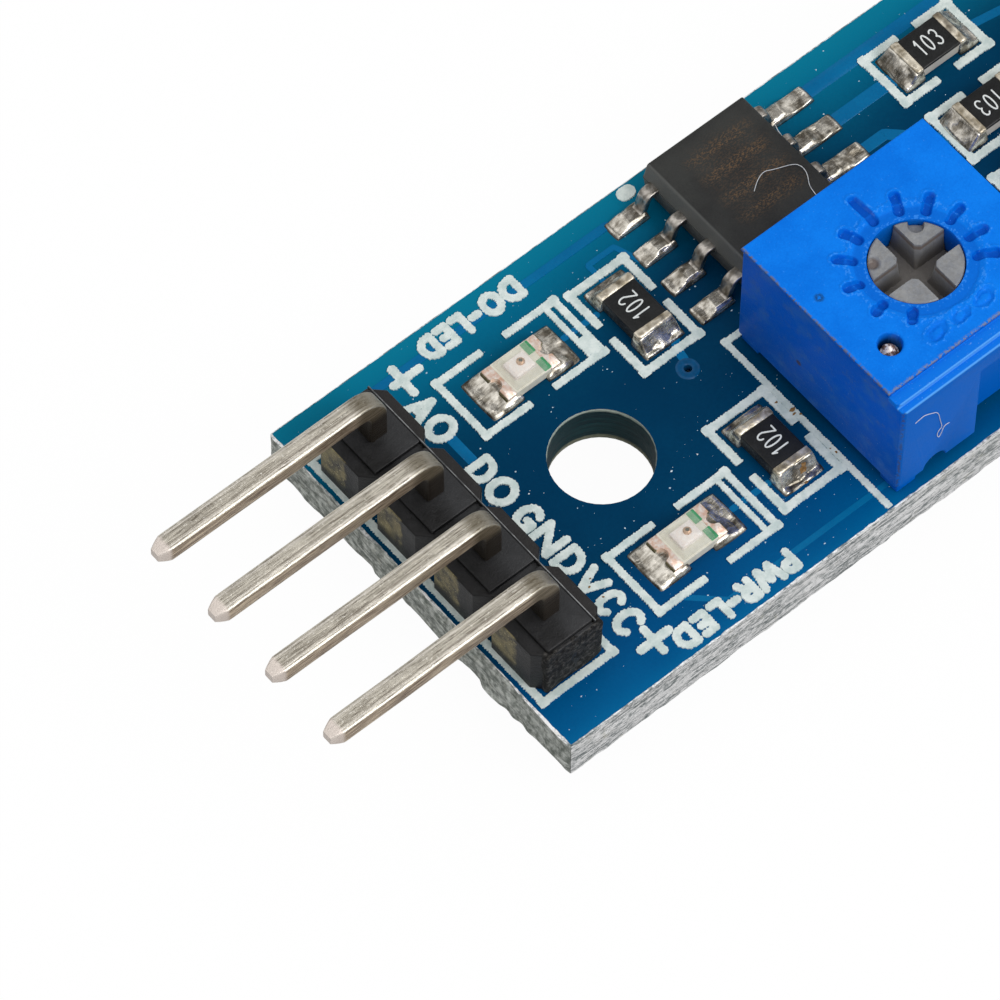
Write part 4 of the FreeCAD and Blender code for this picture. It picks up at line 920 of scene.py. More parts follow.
pin_profile = outline(PIN_HALF, PIN_HALF, 0.085, 5)
for number, row_y in enumerate(PIN_ROWS):
    path = pin_path(row_y)
    travel = travelled(path)
    to_end = np.minimum(travel, travel[-1] - travel)
    scale = np.interp(to_end, [0, 0.03, 0.07, 0.34, 0.42], [0.52, 0.60, 0.64, 0.98, 1.0])
    free = path[:, 2] > TOP + 2.2
    sway = 0.012 * rough(travel[free] * 0.5, number * 3.3, 7)
    path[free, 1] += sway * np.clip((travel[free] - 5.3) * 0.6, 0, 1)
    put("pin_%d" % (number + 1), along(path, pin_profile, scale=scale), plating,
        stands_for=("header_pin_%d" % (number + 1),), smooth=50)
print("pins at y", [round(row, 2) for row in PIN_ROWS])

# %% [markdown]
# ## Solder
# Solder on a flat pad is a liquid frozen in place: it covers the pad, climbs the metal it wets and curves
# in between. On these pads it was put on by hand or by a stencil, so it is wavy. A height over the pad,
# worked out on a grid, gives that: low at the pad's border, high against the terminal, with smooth random
# waves.

# %% Solder on the pads
solder = Finish("solder", "solder", "c9c7c2", 0.16, 0.82)
waves = solder.noise(0.55, 1.0, 0.5)
ripples = solder.noise(0.2, 2.0, 0.5, 7.0)
grit = solder.noise(0.04, 2.0, 0.6, 5.0)
flux = solder.noise(0.5, 3.0, 0.6, 15.0)
drag = solder.noise((0.30, 0.07, 0.2), 3.0, 0.6, 9.0)
solder_z = solder.axes()[2]
solder.coats(
    solder.tint((waves * 0.4 + ripples * 0.35 + drag * 0.25).ramp(0.38, 0.62), "7f786b", "f4eee2"),
    (flux.ramp(0.58, 0.72) * 0.35, "6a5f50"),
    (solder_z.ramp(TOP + 0.075, TOP + 0.02) * solder_z.ramp(TOP - 0.1, TOP) * 0.8, "2f2a22"))
solder.feed("Roughness", 0.15 + grit * 0.16)
solder.bump(waves + ripples * 0.3 + drag * 0.15 + grit * 0.03, 0.07)


def mound(centre, half_x, half_y, terminal, climb, seed, film=0.06, wave=0.03, hollow=0.5, steps=30):
    """Solder on one pad. terminal = (x, y, half_x, half_y) is the metal it climbs: the height falls with
    the distance to it over the length hollow, as a power of what is left of that length, and to nothing at
    the pad's border."""
    u, v = np.meshgrid(np.linspace(-1, 1, steps), np.linspace(-1, 1, steps), indexing="ij")
    bulge = 1 - 0.02 * np.clip(np.abs(u * v), 0, 1)
    x = centre[0] + u * half_x * (1 - 0.03 * np.abs(v) ** 6) * bulge
    y = centre[1] + v * half_y * (1 - 0.03 * np.abs(u) ** 6) * bulge
    gap_x = np.maximum(np.abs(x - terminal[0]) - terminal[2], 0)
    gap_y = np.maximum(np.abs(y - terminal[1]) - terminal[3], 0)
    gap = np.hypot(gap_x, gap_y * 1.6)
    rim = np.clip((1 - np.maximum(np.abs(u), np.abs(v))) * 7, 0, 1) ** 0.6
    folds = 1 + 0.35 * rough(x * 2.6, y * 2.6, seed + 5)
    height = film * rim + climb * np.clip(1 - gap / hollow * folds, 0, 1) ** 1.25 * rim
    height += wave * rough(x * 3.4, y * 3.4, seed) * rim * (gap > 0.02)
    z = TOP + np.maximum(height, -0.004 * (rim == 0))
    return np.stack([x, y, z], -1).reshape(-1, 3), weave(steps, steps)


CHIP_HALF_LONG, TERMINAL_HALF_WIDE = 1.0, 0.62


def chip_pads(x, y, turned, half_wide, inner, outer, climb, seed, terminal=0.3):
    """Both pads of a chip whose length is 2 mm: each pad runs from inner to outer, measured from the
    middle."""
    made = []
    half, half_metal = (outer - inner) / 2, terminal / 2
    for side in (-1, 1):
        pad, metal = (inner + outer) / 2 * side, (CHIP_HALF_LONG - half_metal) * side
        if turned:
            made.append(mound((x, y + pad), half_wide, half, (x, y + metal, TERMINAL_HALF_WIDE, half_metal),
                              climb, seed + side))
        else:
            made.append(mound((x + pad, y), half, half_wide, (x + metal, y, half_metal, TERMINAL_HALF_WIDE),
                              climb, seed + side))
    return made


RESISTORS = [(3.84, 3.05, True), (3.92, -3.0, True), (16.5, 4.44, False), (16.5, 1.67, False)]
CAP_X, CAP_Y = 16.5, -1.10
LEDS = [(0.02, 3.65), (0.02, -3.75)]
CHIP_PADS = (0.76, 0.66, 1.46)
LED_PADS = (0.80, 0.42, 1.66)
made = []
for index, (x, y, turned) in enumerate(RESISTORS):
    made += chip_pads(x, y, turned, *CHIP_PADS, 0.44, 300 + 10 * index)
put("resistor_joints", join(made), solder, stands_for=("resistor_solder",), tidy=False, smooth=60)
made = chip_pads(CAP_X, CAP_Y, False, *CHIP_PADS, 0.5, 360)
put("capacitor_joints", join(made), solder, stands_for=("capacitor_solder",), tidy=False, smooth=60)
made = []
for index, (x, y) in enumerate(LEDS):
    made += chip_pads(x, y, False, *LED_PADS, 0.16, 400 + 10 * index, terminal=0.34)
put("led_joints", join(made), solder, stands_for=("led_solder",), tidy=False, smooth=60)
print("solder mounds", 2 * len(RESISTORS) + 2 + 2 * len(LEDS))

# %% [markdown]
# ## Chip resistors
# A thick-film resistor is a slip of white alumina. Its top carries the film under a black glaze with the
# value printed on it, and its ends are dipped in metal and tinned. Seen close, the pale ceramic shows on
# the long sides only.

# %% Chip resistors
alumina = Finish("resistor_side", "resistor_glaze", "202122", 0.45)
alumina_grain = alumina.noise(0.06, 2.0)
alumina.coats(
    alumina.tint(alumina_grain.ramp(0.45, 0.75), "18191a", "4d4e4d"),
    (alumina.facing()[1].ramp(-0.4, -0.8), "c9c4ba"))
alumina.bump(alumina_grain, 0.01)
glaze = Finish("black_glaze", "resistor_glaze", "151617", 0.3, Specular_IOR_Level=0.4)
glaze_grain = glaze.noise(0.05, 3.0, 0.6)
glaze_haze = glaze.noise(0.5, 2.0, 0.6, 3.0)
glaze.coats(glaze.tint((glaze_grain * 0.5 + glaze_haze * 0.5).ramp(0.35, 0.75), "0c0d0d", "1f2021"))
glaze.feed("Roughness", 0.28 + glaze_grain * 0.25)
glaze.bump(glaze_grain, 0.008)
tinned = Finish("tinned_cap", "tin_caps", "b9b4aa", 0.3, 0.5)
tin_waves = tinned.noise(0.34, 2.0, 0.55)
tin_grit = tinned.noise(0.04, 2.0, 0.6, 3.0)
tinned.coats(
    tinned.tint(tin_waves.ramp(0.35, 0.65), "a49881", "f6ecd8"),
    (tinned.noise(0.5, 2.0, 0.5, 9.0).ramp(0.55, 0.7) * 0.6, "584f44"))
tinned.feed("Roughness", 0.14 + tin_grit * 0.2)
tinned.bump(tin_waves + tin_grit * 0.08, 0.05)
digit_ink = mottled("value_print", "resistor_glaze", 0.6, 0.06, "c9cfcd", "f6f8f6")


def turn_plan(shape, x, y, turned=False):
    """A shape drawn along +X: turned by a quarter when the chip lies across the board, then moved to x,
    y."""
    points, faces = shape
    points = np.array(points, float)
    if turned:
        points[:, :2] = np.stack([-points[:, 1], points[:, 0]], 1)
    return points + np.array([x, y, 0.0]), faces


def wrapped_end(side, seed, half_wide=0.635, tall=0.50, run=0.28):
    """An end cap: rings along the chip's length, rounded at the outer face and wandering at the inner
    lip."""
    levels = [(0.0, 0.0), (0.02, 0.012), (run * 0.5, 0.014), (run - 0.07, 0.016), (run - 0.025, -0.006),
              (run, -0.06)]
    rings = []
    for place, grow in levels:
        flat = outline(half_wide + grow, tall / 2 + grow, 0.07, 5)
        lip = 0.025 * rough(flat[:, 0] * 5, flat[:, 1] * 5 + seed, seed) * (place == 0.0)
        xs = (CHIP_HALF_LONG - run + place + lip) * side
        rings.append(np.column_stack([xs, flat[:, 0], flat[:, 1] + TOP + 0.04 + tall / 2]))
    return stack(rings)


CODES = ["102", "102", "103", "103"]
UPSIDE_DOWN = 3
SLIP_LOW = TOP + 0.06
FILM_HIGH = SLIP_LOW + 0.452
for index, (x, y, turned) in enumerate(RESISTORS):
    label = "resistor_%d" % (index + 1)
    slip = block((0, 0), 0.96, 0.615, 0.03, soft_levels(SLIP_LOW, SLIP_LOW + 0.41, 0.03))
    put(label + "_slip", turn_plan(slip, x, y, turned), alumina, stands_for=(label + "_body",))
    film = block((0, 0), 0.79, 0.618, 0.10, soft_levels(SLIP_LOW + 0.36, FILM_HIGH, 0.04))
    put(label + "_film", turn_plan(film, x, y, turned), glaze)
    ends = join([wrapped_end(-1, 500 + index), wrapped_end(1, 520 + index)])
    put(label + "_ends", turn_plan(ends, x, y, turned), tinned, stands_for=(label + "_caps",), smooth=50)
    flip = -1 if index == UPSIDE_DOWN else 1
    marks = []
    for place, sign in enumerate(CODES[index]):
        corner = ((-0.47 + 0.325 * place) * flip, -0.32 * flip)
        marks += letter(sign, corner, (0.275 * flip, 0), (0, 0.64 * flip), 0.052, 0.004, 0.003, FILM_HIGH,
                        seed=index * 3 + place)
    put(label + "_value", turn_plan(join(marks), x, y, turned), digit_ink, tidy=False)
print("resistors", len(RESISTORS))

# %% [markdown]
# ## Comparator
# The package is two drafted halves of dark moulding compound that meet where the leads leave. Its top is
# matt with a faint grey-green bloom and brownish stains; the maker's marking is left off. The eight leads
# are flat metal, stamped and bent twice, so each is a thin rounded profile carried along a bent path.

# %% Comparator body
IC_X, IC_Y = 8.72, 3.71
compound = Finish("moulding_compound", "package_plastic", "37393a", 0.5, Specular_IOR_Level=0.3)
ic_x, ic_y, ic_z = compound.axes()
sand = compound.noise(0.045, 3.0, 0.65)
bloom = compound.noise(1.3, 3.0, 0.6, 2.0)
stain = compound.noise(0.28, 4.0, 0.72, 9.0)
near_marking = ic_x.near(IC_X + 0.2, 1.5, 0.7) * ic_y.near(IC_Y + 0.3, 1.9, 1.0)
WEAR_ROW_Y, WEAR_ROW_GAP = 4.35, 0.84
row_wave = ((ic_y - WEAR_ROW_Y) * (2 * math.pi / WEAR_ROW_GAP) + bloom * 2.0).maths("SINE")
rows_of_wear = row_wave.ramp(-0.3, 0.6) * 0.7 + 0.3
fine_wear = compound.noise((0.10, 0.05, 0.1), 3.0, 0.75, 14.0).ramp(0.49, 0.56)
worn = fine_wear * rows_of_wear * near_marking * stain.ramp(0.30, 0.48) * ic_z.ramp(3.1, 3.15)
compound.coats(
    compound.tint((bloom * 0.7 + sand * 0.4).ramp(0.3, 0.75), "222222", "343533"),
    (worn * 0.62, "7a5c3c"),
    (compound.facing()[0].ramp(-0.4, -0.8) * 0.8, "6a6b68"),
    (sand.ramp(0.74, 0.82) * 0.35, "6f7472"))
compound.feed("Roughness", 0.42 + sand * 0.2)
compound.bump(sand * 0.8 + bloom * 0.4, 0.014)
PACKAGE_LEVELS = [
    (1.72, 0.12), (1.76, 0.075), (2.405, 0.012), (2.41, 0.0), (2.43, 0.0), (2.435, 0.012), (3.02, 0.085),
    (3.09, 0.105), (3.135, 0.15), (3.16, 0.21), (3.17, 0.29)]
package = block((IC_X, IC_Y), 1.95, 2.45, 0.10, PACKAGE_LEVELS)
put("comparator_shell", package, compound, stands_for=("comparator_body",), smooth=50)

# %% Comparator leads
lead_metal = Finish("lead_metal", "lead_metal", "a9a8a6", 0.3, 1.0)
lead_waves = lead_metal.noise((0.35, 0.2, 0.35), 2.0, 0.55)
lead_grit = lead_metal.noise(0.035, 2.0, 0.6, 5.0)
lead_metal.coats(lead_metal.tint(lead_waves.ramp(0.3, 0.7), "807970", "d6d0c8"))
lead_metal.feed("Roughness", 0.2 + lead_grit * 0.3)
lead_metal.bump(lead_waves + lead_grit * 0.08, 0.03)


def rounded_path(corners, radius, steps=7):
    """Straight runs joined by bends: near each corner the path follows a quadratic curve from radius before
    the corner to radius after it."""
    corners = np.array(corners, float)
    made = [corners[0]]
    t = np.linspace(0, 1, steps)[:, None]
    for before, here, after in zip(corners[:-2], corners[1:-1], corners[2:]):
        start, end = [here + leg / np.linalg.norm(leg) * min(radius, np.linalg.norm(leg) * 0.49)
                      for leg in (before - here, after - here)]
        made.extend((1 - t) ** 2 * start + 2 * t * (1 - t) * here + t ** 2 * end)
    made.append(corners[-1])
    return np.array(made)


LEAD_PITCH, LEAD_COUNT = 1.27, 8
LEAD_PROFILE = outline(0.1, 0.21, 0.04, 4)
LEAD_WAY = [(1.90, 2.42), (2.28, 2.42), (2.46, 1.76), (2.99, 1.74)]
TOE, FOOT_MIDDLE = 2.99, 2.7
PAD_START, PAD_PAST_TOE = 2.3, {-1: 0.62, 1: 1.12}
toes = []
for number in range(LEAD_COUNT):
    side = -1 if number < LEAD_COUNT // 2 else 1
    row = number if side < 0 else LEAD_COUNT - 1 - number
    y = IC_Y + LEAD_PITCH * (1.5 - row)
    lead = along(rounded_path([(IC_X + out * side, y, z) for out, z in LEAD_WAY], 0.2), LEAD_PROFILE)
    put("lead_%d" % (number + 1), lead, lead_metal, stands_for=("comparator_lead_%d" % (number + 1),),
        smooth=50)
    pad_end = TOE + PAD_PAST_TOE[side]
    middle, half = (IC_X + (PAD_START + pad_end) / 2 * side, y), (pad_end - PAD_START) / 2
    foot = (IC_X + FOOT_MIDDLE * side, y, 0.3, 0.2)
    toes.append(mound(middle, half, 0.35, foot, 0.16, 600 + number, film=0.10, hollow=0.4))
put("comparator_joints", join(toes), solder, stands_for=("comparator_solder",), tidy=False, smooth=60)
print("comparator leads", LEAD_COUNT)

# %% [markdown]
# ## Indicator LEDs
# Each LED is a small circuit board with gilded ends, bitten in a half circle where the panel's plated holes
# were cut through. A clear block of resin covers the chip; a green mark on the base shows which end is
# negative.

# %% LEDs
gilt = mottled("gilded_terminal", "led_gilt", 0.35, 0.18, "e8bca2", "fff6ee", metal=0.45, detail=3.0,
               wild=0.6, span=(0.3, 0.7), deep=0.02)
cream = mottled("led_base", "led_base", 0.5, 0.2, "c9c3ad", "f1efe4", detail=3.0, deep=0.01)
resin = Finish("clear_resin", "led_lens", "f3efdf", 0.08, IOR=1.5, Coat_Weight=0.5, Coat_Roughness=0.04)
resin_haze = resin.noise(0.5, 2.0)
resin.coats(resin.tint(resin_haze, "dfe0cd", "fbfbf0"))
resin.feed("Alpha", 0.14 + resin_haze * 0.16)
resin.bump(resin_haze, 0.02)
green_mark = mottled("green_mark", "led_base", 0.45, 0.12, "1e7a45", "57b07c", detail=3.0)
die_finish = mottled("led_chip", "led_base", 0.35, 0.06, "7d3d1f", "f0c39a", metal=0.3)
cup_finish = mottled("led_cup", "led_base", 0.35, 0.1, "efd9cf", "ffffff")
olive = mottled("laminate_corner", "led_base", 0.5, 0.08, "302b18", "6e6640", detail=3.0)

LED_LOW = TOP + 0.04
CROWN = LED_LOW + 0.32
BITE_R = 0.24
LED_LEVELS = {
    "base": soft_levels(LED_LOW, LED_LOW + 0.318, 0.01),
    "corner": soft_levels(LED_LOW, LED_LOW + 0.29, 0.02),
    "resin": [(CROWN - 0.01, 0.0), (CROWN + 0.02, 0.0), (CROWN + 0.40, 0.13), (CROWN + 0.455, 0.16),
              (CROWN + 0.475, 0.21)],
    "cup": [(CROWN - 0.005, 0.0), (CROWN + 0.10, 0.02), (CROWN + 0.12, 0.05)],
    "chip": [(CROWN + 0.115, 0.0), (CROWN + 0.15, 0.0), (CROWN + 0.19, 0.03), (CROWN + 0.205, 0.07)],
    "mark": [(CROWN - 0.004, 0.0), (CROWN + 0.012, 0.0), (CROWN + 0.014, 0.01)]}


def bitten_end(x, y, side):
    """One gilded end: a flat bar whose outer face has a half-round bite, and whose top is drawn in a
    little."""
    ring = even_ring(outline(0.17, 0.62, 0.03, 4) + np.array([x + 0.83 * side, y]), 90)
    outer_face = np.abs(ring[:, 0] - x - CHIP_HALF_LONG * side) < 0.06
    ring[:, 0] -= side * outer_face * np.sqrt(np.clip(BITE_R ** 2 - (ring[:, 1] - y) ** 2, 0, None))
    drawn_in = ring + (np.array([x + 0.80 * side, y]) - ring) * 0.05
    rows = ((ring, LED_LOW), (ring, LED_LOW + 0.30), (drawn_in, LED_LOW + 0.325))
    return stack([np.column_stack([flat, np.full(len(flat), z)]) for flat, z in rows])


for index, (x, y) in enumerate(LEDS):
    label = "led_%d" % (index + 1)
    base = block((x, y), 0.66, 0.62, 0.02, LED_LEVELS["base"])
    put(label + "_board", base, cream, stands_for=(label + "_base",))
    ends = join([bitten_end(x, y, side) for side in (-1, 1)])
    put(label + "_ends", ends, gilt, stands_for=(label + "_terminals",), smooth=40)
    lens = block((x, y), 0.60, 0.56, 0.03, LED_LEVELS["resin"])
    put(label + "_resin", lens, resin, stands_for=(label + "_lens",), smooth=30)
    put(label + "_cup", block((x - 0.02, y + 0.04), 0.40, 0.32, 0.04, LED_LEVELS["cup"]), cup_finish)
    put(label + "_chip", block((x + 0.06, y + 0.08), 0.13, 0.13, 0.129, LED_LEVELS["chip"]), die_finish)
    corners = [block((x + 0.99 * side, y + 0.42 * up), 0.045, 0.19, 0.02, LED_LEVELS["corner"])
               for side in (-1, 1) for up in (-1, 1)]
    put(label + "_corners", join(corners), olive)
    marks = [block((x + 0.57, y + 0.36 * up), 0.13, 0.22, 0.02, LED_LEVELS["mark"]) for up in (1, -1)]
    put(label + "_mark", join(marks), green_mark)
print("LEDs", len(LEDS))

# %% [markdown]
# ## Trimmer housing
# The housing is a thick-walled cap of bright blue plastic. Its lid carries a sunken ring round the rotor,
# eleven moulded marks with round ends, and an eye where a pin's end shows. Those shapes melt into the lid,
# so the lid's skin is a height over two parameters: the way round the rotor's axis and the way out from the
# mouth to the rim. The walls are a copy of the CAD solid cut off below the lid's skin, with softened edges.

# %% Trimmer blue
AXIS_X, AXIS_Y = 9.19, -2.96
HOUSE_LOW, HOUSE_HIGH = node_box("trimmer_housing")
LID_EDGE_Y = HOUSE_LOW[1] + 0.66
EYE_X, EYE_Y, EYE_R = 6.75, -4.58, 0.37
FLECK, SCUFF = (-2.11, 3.55), (6.22, -2.13)
blue = Finish("trimmer_plastic", "trimmer_blue", "0b76e4", 0.42, Specular_IOR_Level=0.05)
blue_x, blue_y, blue_z = blue.axes()
blue_face_x, blue_face_y, blue_face_z = blue.facing()
blue_cloud = blue.noise(1.4, 3.0, 0.6)
blue_grain = blue.noise(0.06, 3.0, 0.6, 4.0)
blue_smudge = blue.noise((0.7, 0.7, 0.5), 4.0, 0.65, 11.0)
blue_scratch = blue.noise((0.9, 0.05, 0.25), 3.0, 0.6, 23.0)
on_wall = 1 - blue_face_z.ramp(0.4, 0.8)
on_front = blue_face_y.ramp(-0.5, -0.8)
side_wall = blue_face_x.ramp(-0.5, -0.8)
# Painted shade: the ring and the marks are painted a darker blue where they sink below the lid.
recess_shade = (blue_z.ramp(6.455, 6.415) * 0.45 + blue_z.ramp(6.415, 6.34) * 0.55) * blue_face_z.ramp(0.2, 0.6)
dusty = (blue_smudge + blue_scratch * 0.25).ramp(0.62, 0.86) * on_wall * (0.4 - on_front * 0.3)

# Painted highlights: pale blue glints on the ring and on the raised rims round the marks.
from_axis = gap_to(blue_x, blue_y, (AXIS_X, AXIS_Y))
ring_glints = blue.noise(0.10, 2.0, 0.7, 41.0)
ring_glint_zone = from_axis.near(2.0, 0.22, 0.06) * 0.8 + from_axis.near(1.5, 0.12, 0.03)
ring_glint_zone = (ring_glint_zone + blue_z.ramp(6.487, 6.50)).ramp(0.0, 1.0) * blue_z.ramp(6.36, 6.40)

# The ledge at the front, painted lighter as a lit face, with painted highlight lines along its two edges and
# painted glints on it.
ledge = blue_y.ramp(-5.80, -5.84) * blue_z.ramp(6.10, 6.16) * blue_z.ramp(6.44, 6.38)
ledge_glints = blue.noise(0.07, 3.0, 0.7, 71.0).ramp(0.64, 0.72)
ledge_highlights = blue_y.near(-6.47, 0.05, 0.01).larger(blue_y.near(-6.22, 0.04, 0.01))

# The scuffed rims: the lid's left and front edges and the housing's front left corner.
from_left = (blue_x - HOUSE_LOW[0]).size()
from_front = (blue_y - LID_EDGE_Y).size()
from_top = (HOUSE_HIGH[2] - blue_z).size()
scuff_dots = blue.noise(0.10, 3.0, 0.7, 31.0)
left_rim = from_left.larger(from_top).ramp(0.10, 0.02)
front_rim = from_front.larger(from_top).ramp(0.12, 0.02)
corner_rim = from_left.larger((blue_y - HOUSE_LOW[1]).size()).ramp(0.14, 0.03)
# Painted shade: the inside of the eye is painted dark blue below the lid.
eye_shade = gap_to(blue_x, blue_y, (EYE_X, EYE_Y)).ramp(0.5, 0.34)
wall_cloud = blue.noise((1.0, 0.9, 0.9), 3.0, 0.6, 61.0)
wall_specks = blue.noise(0.07, 2.0, 0.6, 67.0).ramp(0.70, 0.76)
brown_fleck = gap_to(blue_y, blue_z, FLECK).ramp(0.14, 0.06)
lid_scuff = gap_to(blue_x, blue_y, SCUFF).ramp(0.20, 0.08) * blue_z.ramp(6.3, 6.4)

blue.coats(
    blue.tint((blue_cloud * 0.6 + blue_grain * 0.4).ramp(0.3, 0.7), "0270e0", "0a80f2"),
    # Painted shade and light: the walls are painted a darker blue than the lid, the -X walls darker still
    # towards the bottom, and the faces towards -Y a lighter blue.
    (on_wall, "0064e0"),
    (blue_z.ramp(5.2, 2.0) * blue_face_x.ramp(-0.4, -0.8) * 0.45, "0a509a"),
    (recess_shade * 0.85, "0049b0"),
    ((ring_glints + ring_glint_zone * 0.15).ramp(0.67, 0.75) * 0.42, "4aa0ff"),
    (on_front * 0.85, "006ed8"),
    (dusty, "4f74b4"),
    # Painted light on the ledge, painted highlight lines along its edges and painted glints on it.
    (ledge * 0.6, "0f84f8"),
    (ledge * ledge_highlights * 0.7, "66b4ff"),
    (ledge * ledge_glints * 0.45, "a0ceff"),
    (left_rim * scuff_dots.ramp(0.42, 0.56) * 0.85, "746f66"),
    (front_rim * scuff_dots.ramp(0.42, 0.56) * 0.75, "8d8a80"),
    (corner_rim * scuff_dots.ramp(0.44, 0.56) * 0.85, "4c4438"),
    (eye_shade * blue_z.ramp(6.46, 6.1), "03254f"),
    (side_wall * wall_cloud.ramp(0.48, 0.72) * 0.4, "3f7bc8"),
    (side_wall * wall_specks * 0.6, "8fb4dc"),
    (side_wall * brown_fleck * 0.8, "4a3a2a"),
    (lid_scuff * scuff_dots.ramp(0.40, 0.52) * 0.8, "18406f"))
blue.feed("Roughness", 0.36 + blue_grain * 0.2)
blue.bump(blue_grain * 0.5 + blue_cloud * 0.5 + scuff_dots * (left_rim + front_rim) * 1.5, 0.016)

# %% The lid's skin
def soft_step(value, low, high):
    """0 below low, 1 above high, smooth between."""
    t = np.clip((np.asarray(value, float) - low) / (high - low), 0, 1)
    return t * t * (3 - 2 * t)


def hump(value, middle, spread):
    """1 where value is at the middle, falling away on both sides as a bell does."""
    return np.exp(-((value - middle) / spread) ** 2)


def capsule(x, y, a, b):
    """Distance from x, y to the straight line between the points a and b."""
    a, b = np.array(a, float), np.array(b, float)
    along_it = np.clip(((x - a[0]) * (b - a)[0] + (y - a[1]) * (b - a)[1]) / np.sum((b - a) ** 2), 0, 1)
    return np.hypot(x - a[0] - along_it * (b - a)[0], y - a[1] - along_it * (b - a)[1])


MARKS = [(-33.5, 1.84, 2.32), (-11.5, 1.82, 2.2), (14, 1.81, 2.2), (39, 1.81, 2.2), (65, 1.82, 2.24),
         (91.5, 1.9, 2.66), (117, 1.88, 2.24), (140, 1.91, 2.27), (166, 1.93, 2.2), (195.5, 1.85, 2.1),
         (225, 1.75, 2.02)]
OVALS = [(8.06, -5.13), (8.94, -5.12), (9.82, -5.12)]
RING_DEEP, MARK_DEEP, OVAL_DEEP, EYE_DEEP, RAISED = 0.07, 0.13, 0.05, 0.55, 0.03


def lid_height(x, y):
    """Height of the lid over x, y: the ring and each mark lower it along soft steps, and a low rim stands
    round each mark where the mould's surface was raised."""
    u, v = x - AXIS_X, y - AXIS_Y
    radius = np.hypot(u, v)
    height = np.full_like(x, HOUSE_HIGH[2])
    height -= RING_DEEP * (1 - soft_step(radius + 0.03 * rough(u * 2.2, v * 2.2, 3), 1.74, 1.95))
    for turn, near_r, far_r in MARKS:
        way = np.array([math.cos(math.radians(turn)), math.sin(math.radians(turn))])
        away = capsule(u, v, way * (near_r - 0.08), way * far_r) + 0.02 * rough(u * 6, v * 6, 21)
        height -= MARK_DEEP * (1 - soft_step(away, 0.08, 0.19))
        height += RAISED * hump(away, 0.22, 0.05) * (radius > 1.95)
    for place_x, place_y in OVALS:
        lean_x = (x - place_x) * 0.97 + (y - place_y) * 0.24
        lean_y = (y - place_y) * 0.97 - (x - place_x) * 0.24
        ring = np.hypot(lean_x * 0.62, lean_y) - 0.17 + 0.04 * rough(x * 7, y * 7, 22)
        height += RAISED * hump(ring, 0.12, 0.05) - OVAL_DEEP * hump(ring, 0, 0.06)
    height += 0.028 * hump(radius + 0.06 * rough(u * 3, v * 3, 23), 2.0, 0.06)
    eye = np.hypot(x - EYE_X, y - EYE_Y)
    height -= 0.05 * (1 - soft_step(eye, EYE_R - 0.01, EYE_R + 0.06))
    height -= EYE_DEEP * (1 - soft_step(eye, EYE_R - 0.045, EYE_R - 0.01))
    height += 0.006 * rough(x * 1.3, y * 1.3, 9) + 0.004 * rough(x * 5, y * 5, 10)
    return np.minimum(height, HOUSE_HIGH[2] + RAISED)


ways = np.linspace(-math.pi, math.pi, 640, endpoint=False)
for corner_x in (HOUSE_LOW[0], HOUSE_HIGH[0]):
    for corner_y in (LID_EDGE_Y, HOUSE_HIGH[1]):
        exact = math.atan2(corner_y - AXIS_Y, corner_x - AXIS_X)
        ways[np.argmin(np.abs(ways - exact))] = exact


def rim_reach(inset):
    """How far the lid's outline is from the rotor's axis in each direction, with the outline drawn in by
    inset."""
    cos, sin = np.cos(ways), np.sin(ways)
    side_x = np.where(cos > 0, HOUSE_HIGH[0] - inset - AXIS_X, AXIS_X - HOUSE_LOW[0] - inset)
    side_y = np.where(sin > 0, HOUSE_HIGH[1] - inset - AXIS_Y, AXIS_Y - LID_EDGE_Y - inset)
    return np.minimum(side_x / np.maximum(np.abs(cos), 1e-9), side_y / np.maximum(np.abs(sin), 1e-9))


RIM, MOUTH_R, CUT = 0.055, 1.425, 6.40
MIDWAY_R, MIDWAY_SHARE = 2.6, 0.62
AXIS = (AXIS_X, AXIS_Y)
rows = [turned_row(AXIS, radius, ways, height)
        for height, radius in ((6.30, MOUTH_R), (6.385, MOUTH_R), (6.403, MOUTH_R + 0.01))]
inner, outer = MOUTH_R + 0.025, rim_reach(RIM)
for share in np.concatenate([np.linspace(0, MIDWAY_SHARE, 66), np.linspace(MIDWAY_SHARE + 0.01, 1, 40)]):
    if share < MIDWAY_SHARE:
        radius = inner + (MIDWAY_R - inner) * share / MIDWAY_SHARE
    else:
        radius = MIDWAY_R + (outer - MIDWAY_R) * (share - MIDWAY_SHARE) / (1 - MIDWAY_SHARE)
    row = turned_row(AXIS, radius, ways, 0.0)
    row[:, 2] = lid_height(row[:, 0], row[:, 1])
    rows.append(row)
for a in np.linspace(0, math.pi / 2, 5)[1:]:
    drop = RIM * (1 - math.cos(a))
    rows.append(turned_row(AXIS, rim_reach(RIM * (1 - math.sin(a))), ways, HOUSE_HIGH[2] - drop))
rows.append(rows[-1] - np.array([0, 0, 0.035]))
grid = np.array(rows)
lid_faces = weave(len(rows), len(ways), closed=True, flip=True)
put("trimmer_lid", (grid.reshape(-1, 3), lid_faces), blue, tidy=False, smooth=50)
walls = dressed("trimmer_walls", "trimmer_housing", blue, 0.035)
shell = bmesh.new()
shell.from_mesh(walls.data)
everything = shell.verts[:] + shell.edges[:] + shell.faces[:]
bmesh.ops.bisect_plane(
    shell, geom=everything, plane_co=(0, 0, CUT * MM), plane_no=(0, 0, 1), clear_outer=True)
shell.to_mesh(walls.data)
shell.free()
print("trimmer lid rows", len(rows), "height", grid[..., 2].min(), grid[..., 2].max())

# %% [markdown]
# ## Trimmer rotor
# The rotor is one turned piece of grey plastic. Only its head shows: four wedges between the arms of a
# cross slot whose walls lean, with a notch in one wedge and a dimple in another. The head is a height over
# a square grid that is squeezed into a disc; the flange below it is the rest of the same turned outline. It
# turns, so it rides on the rotor.

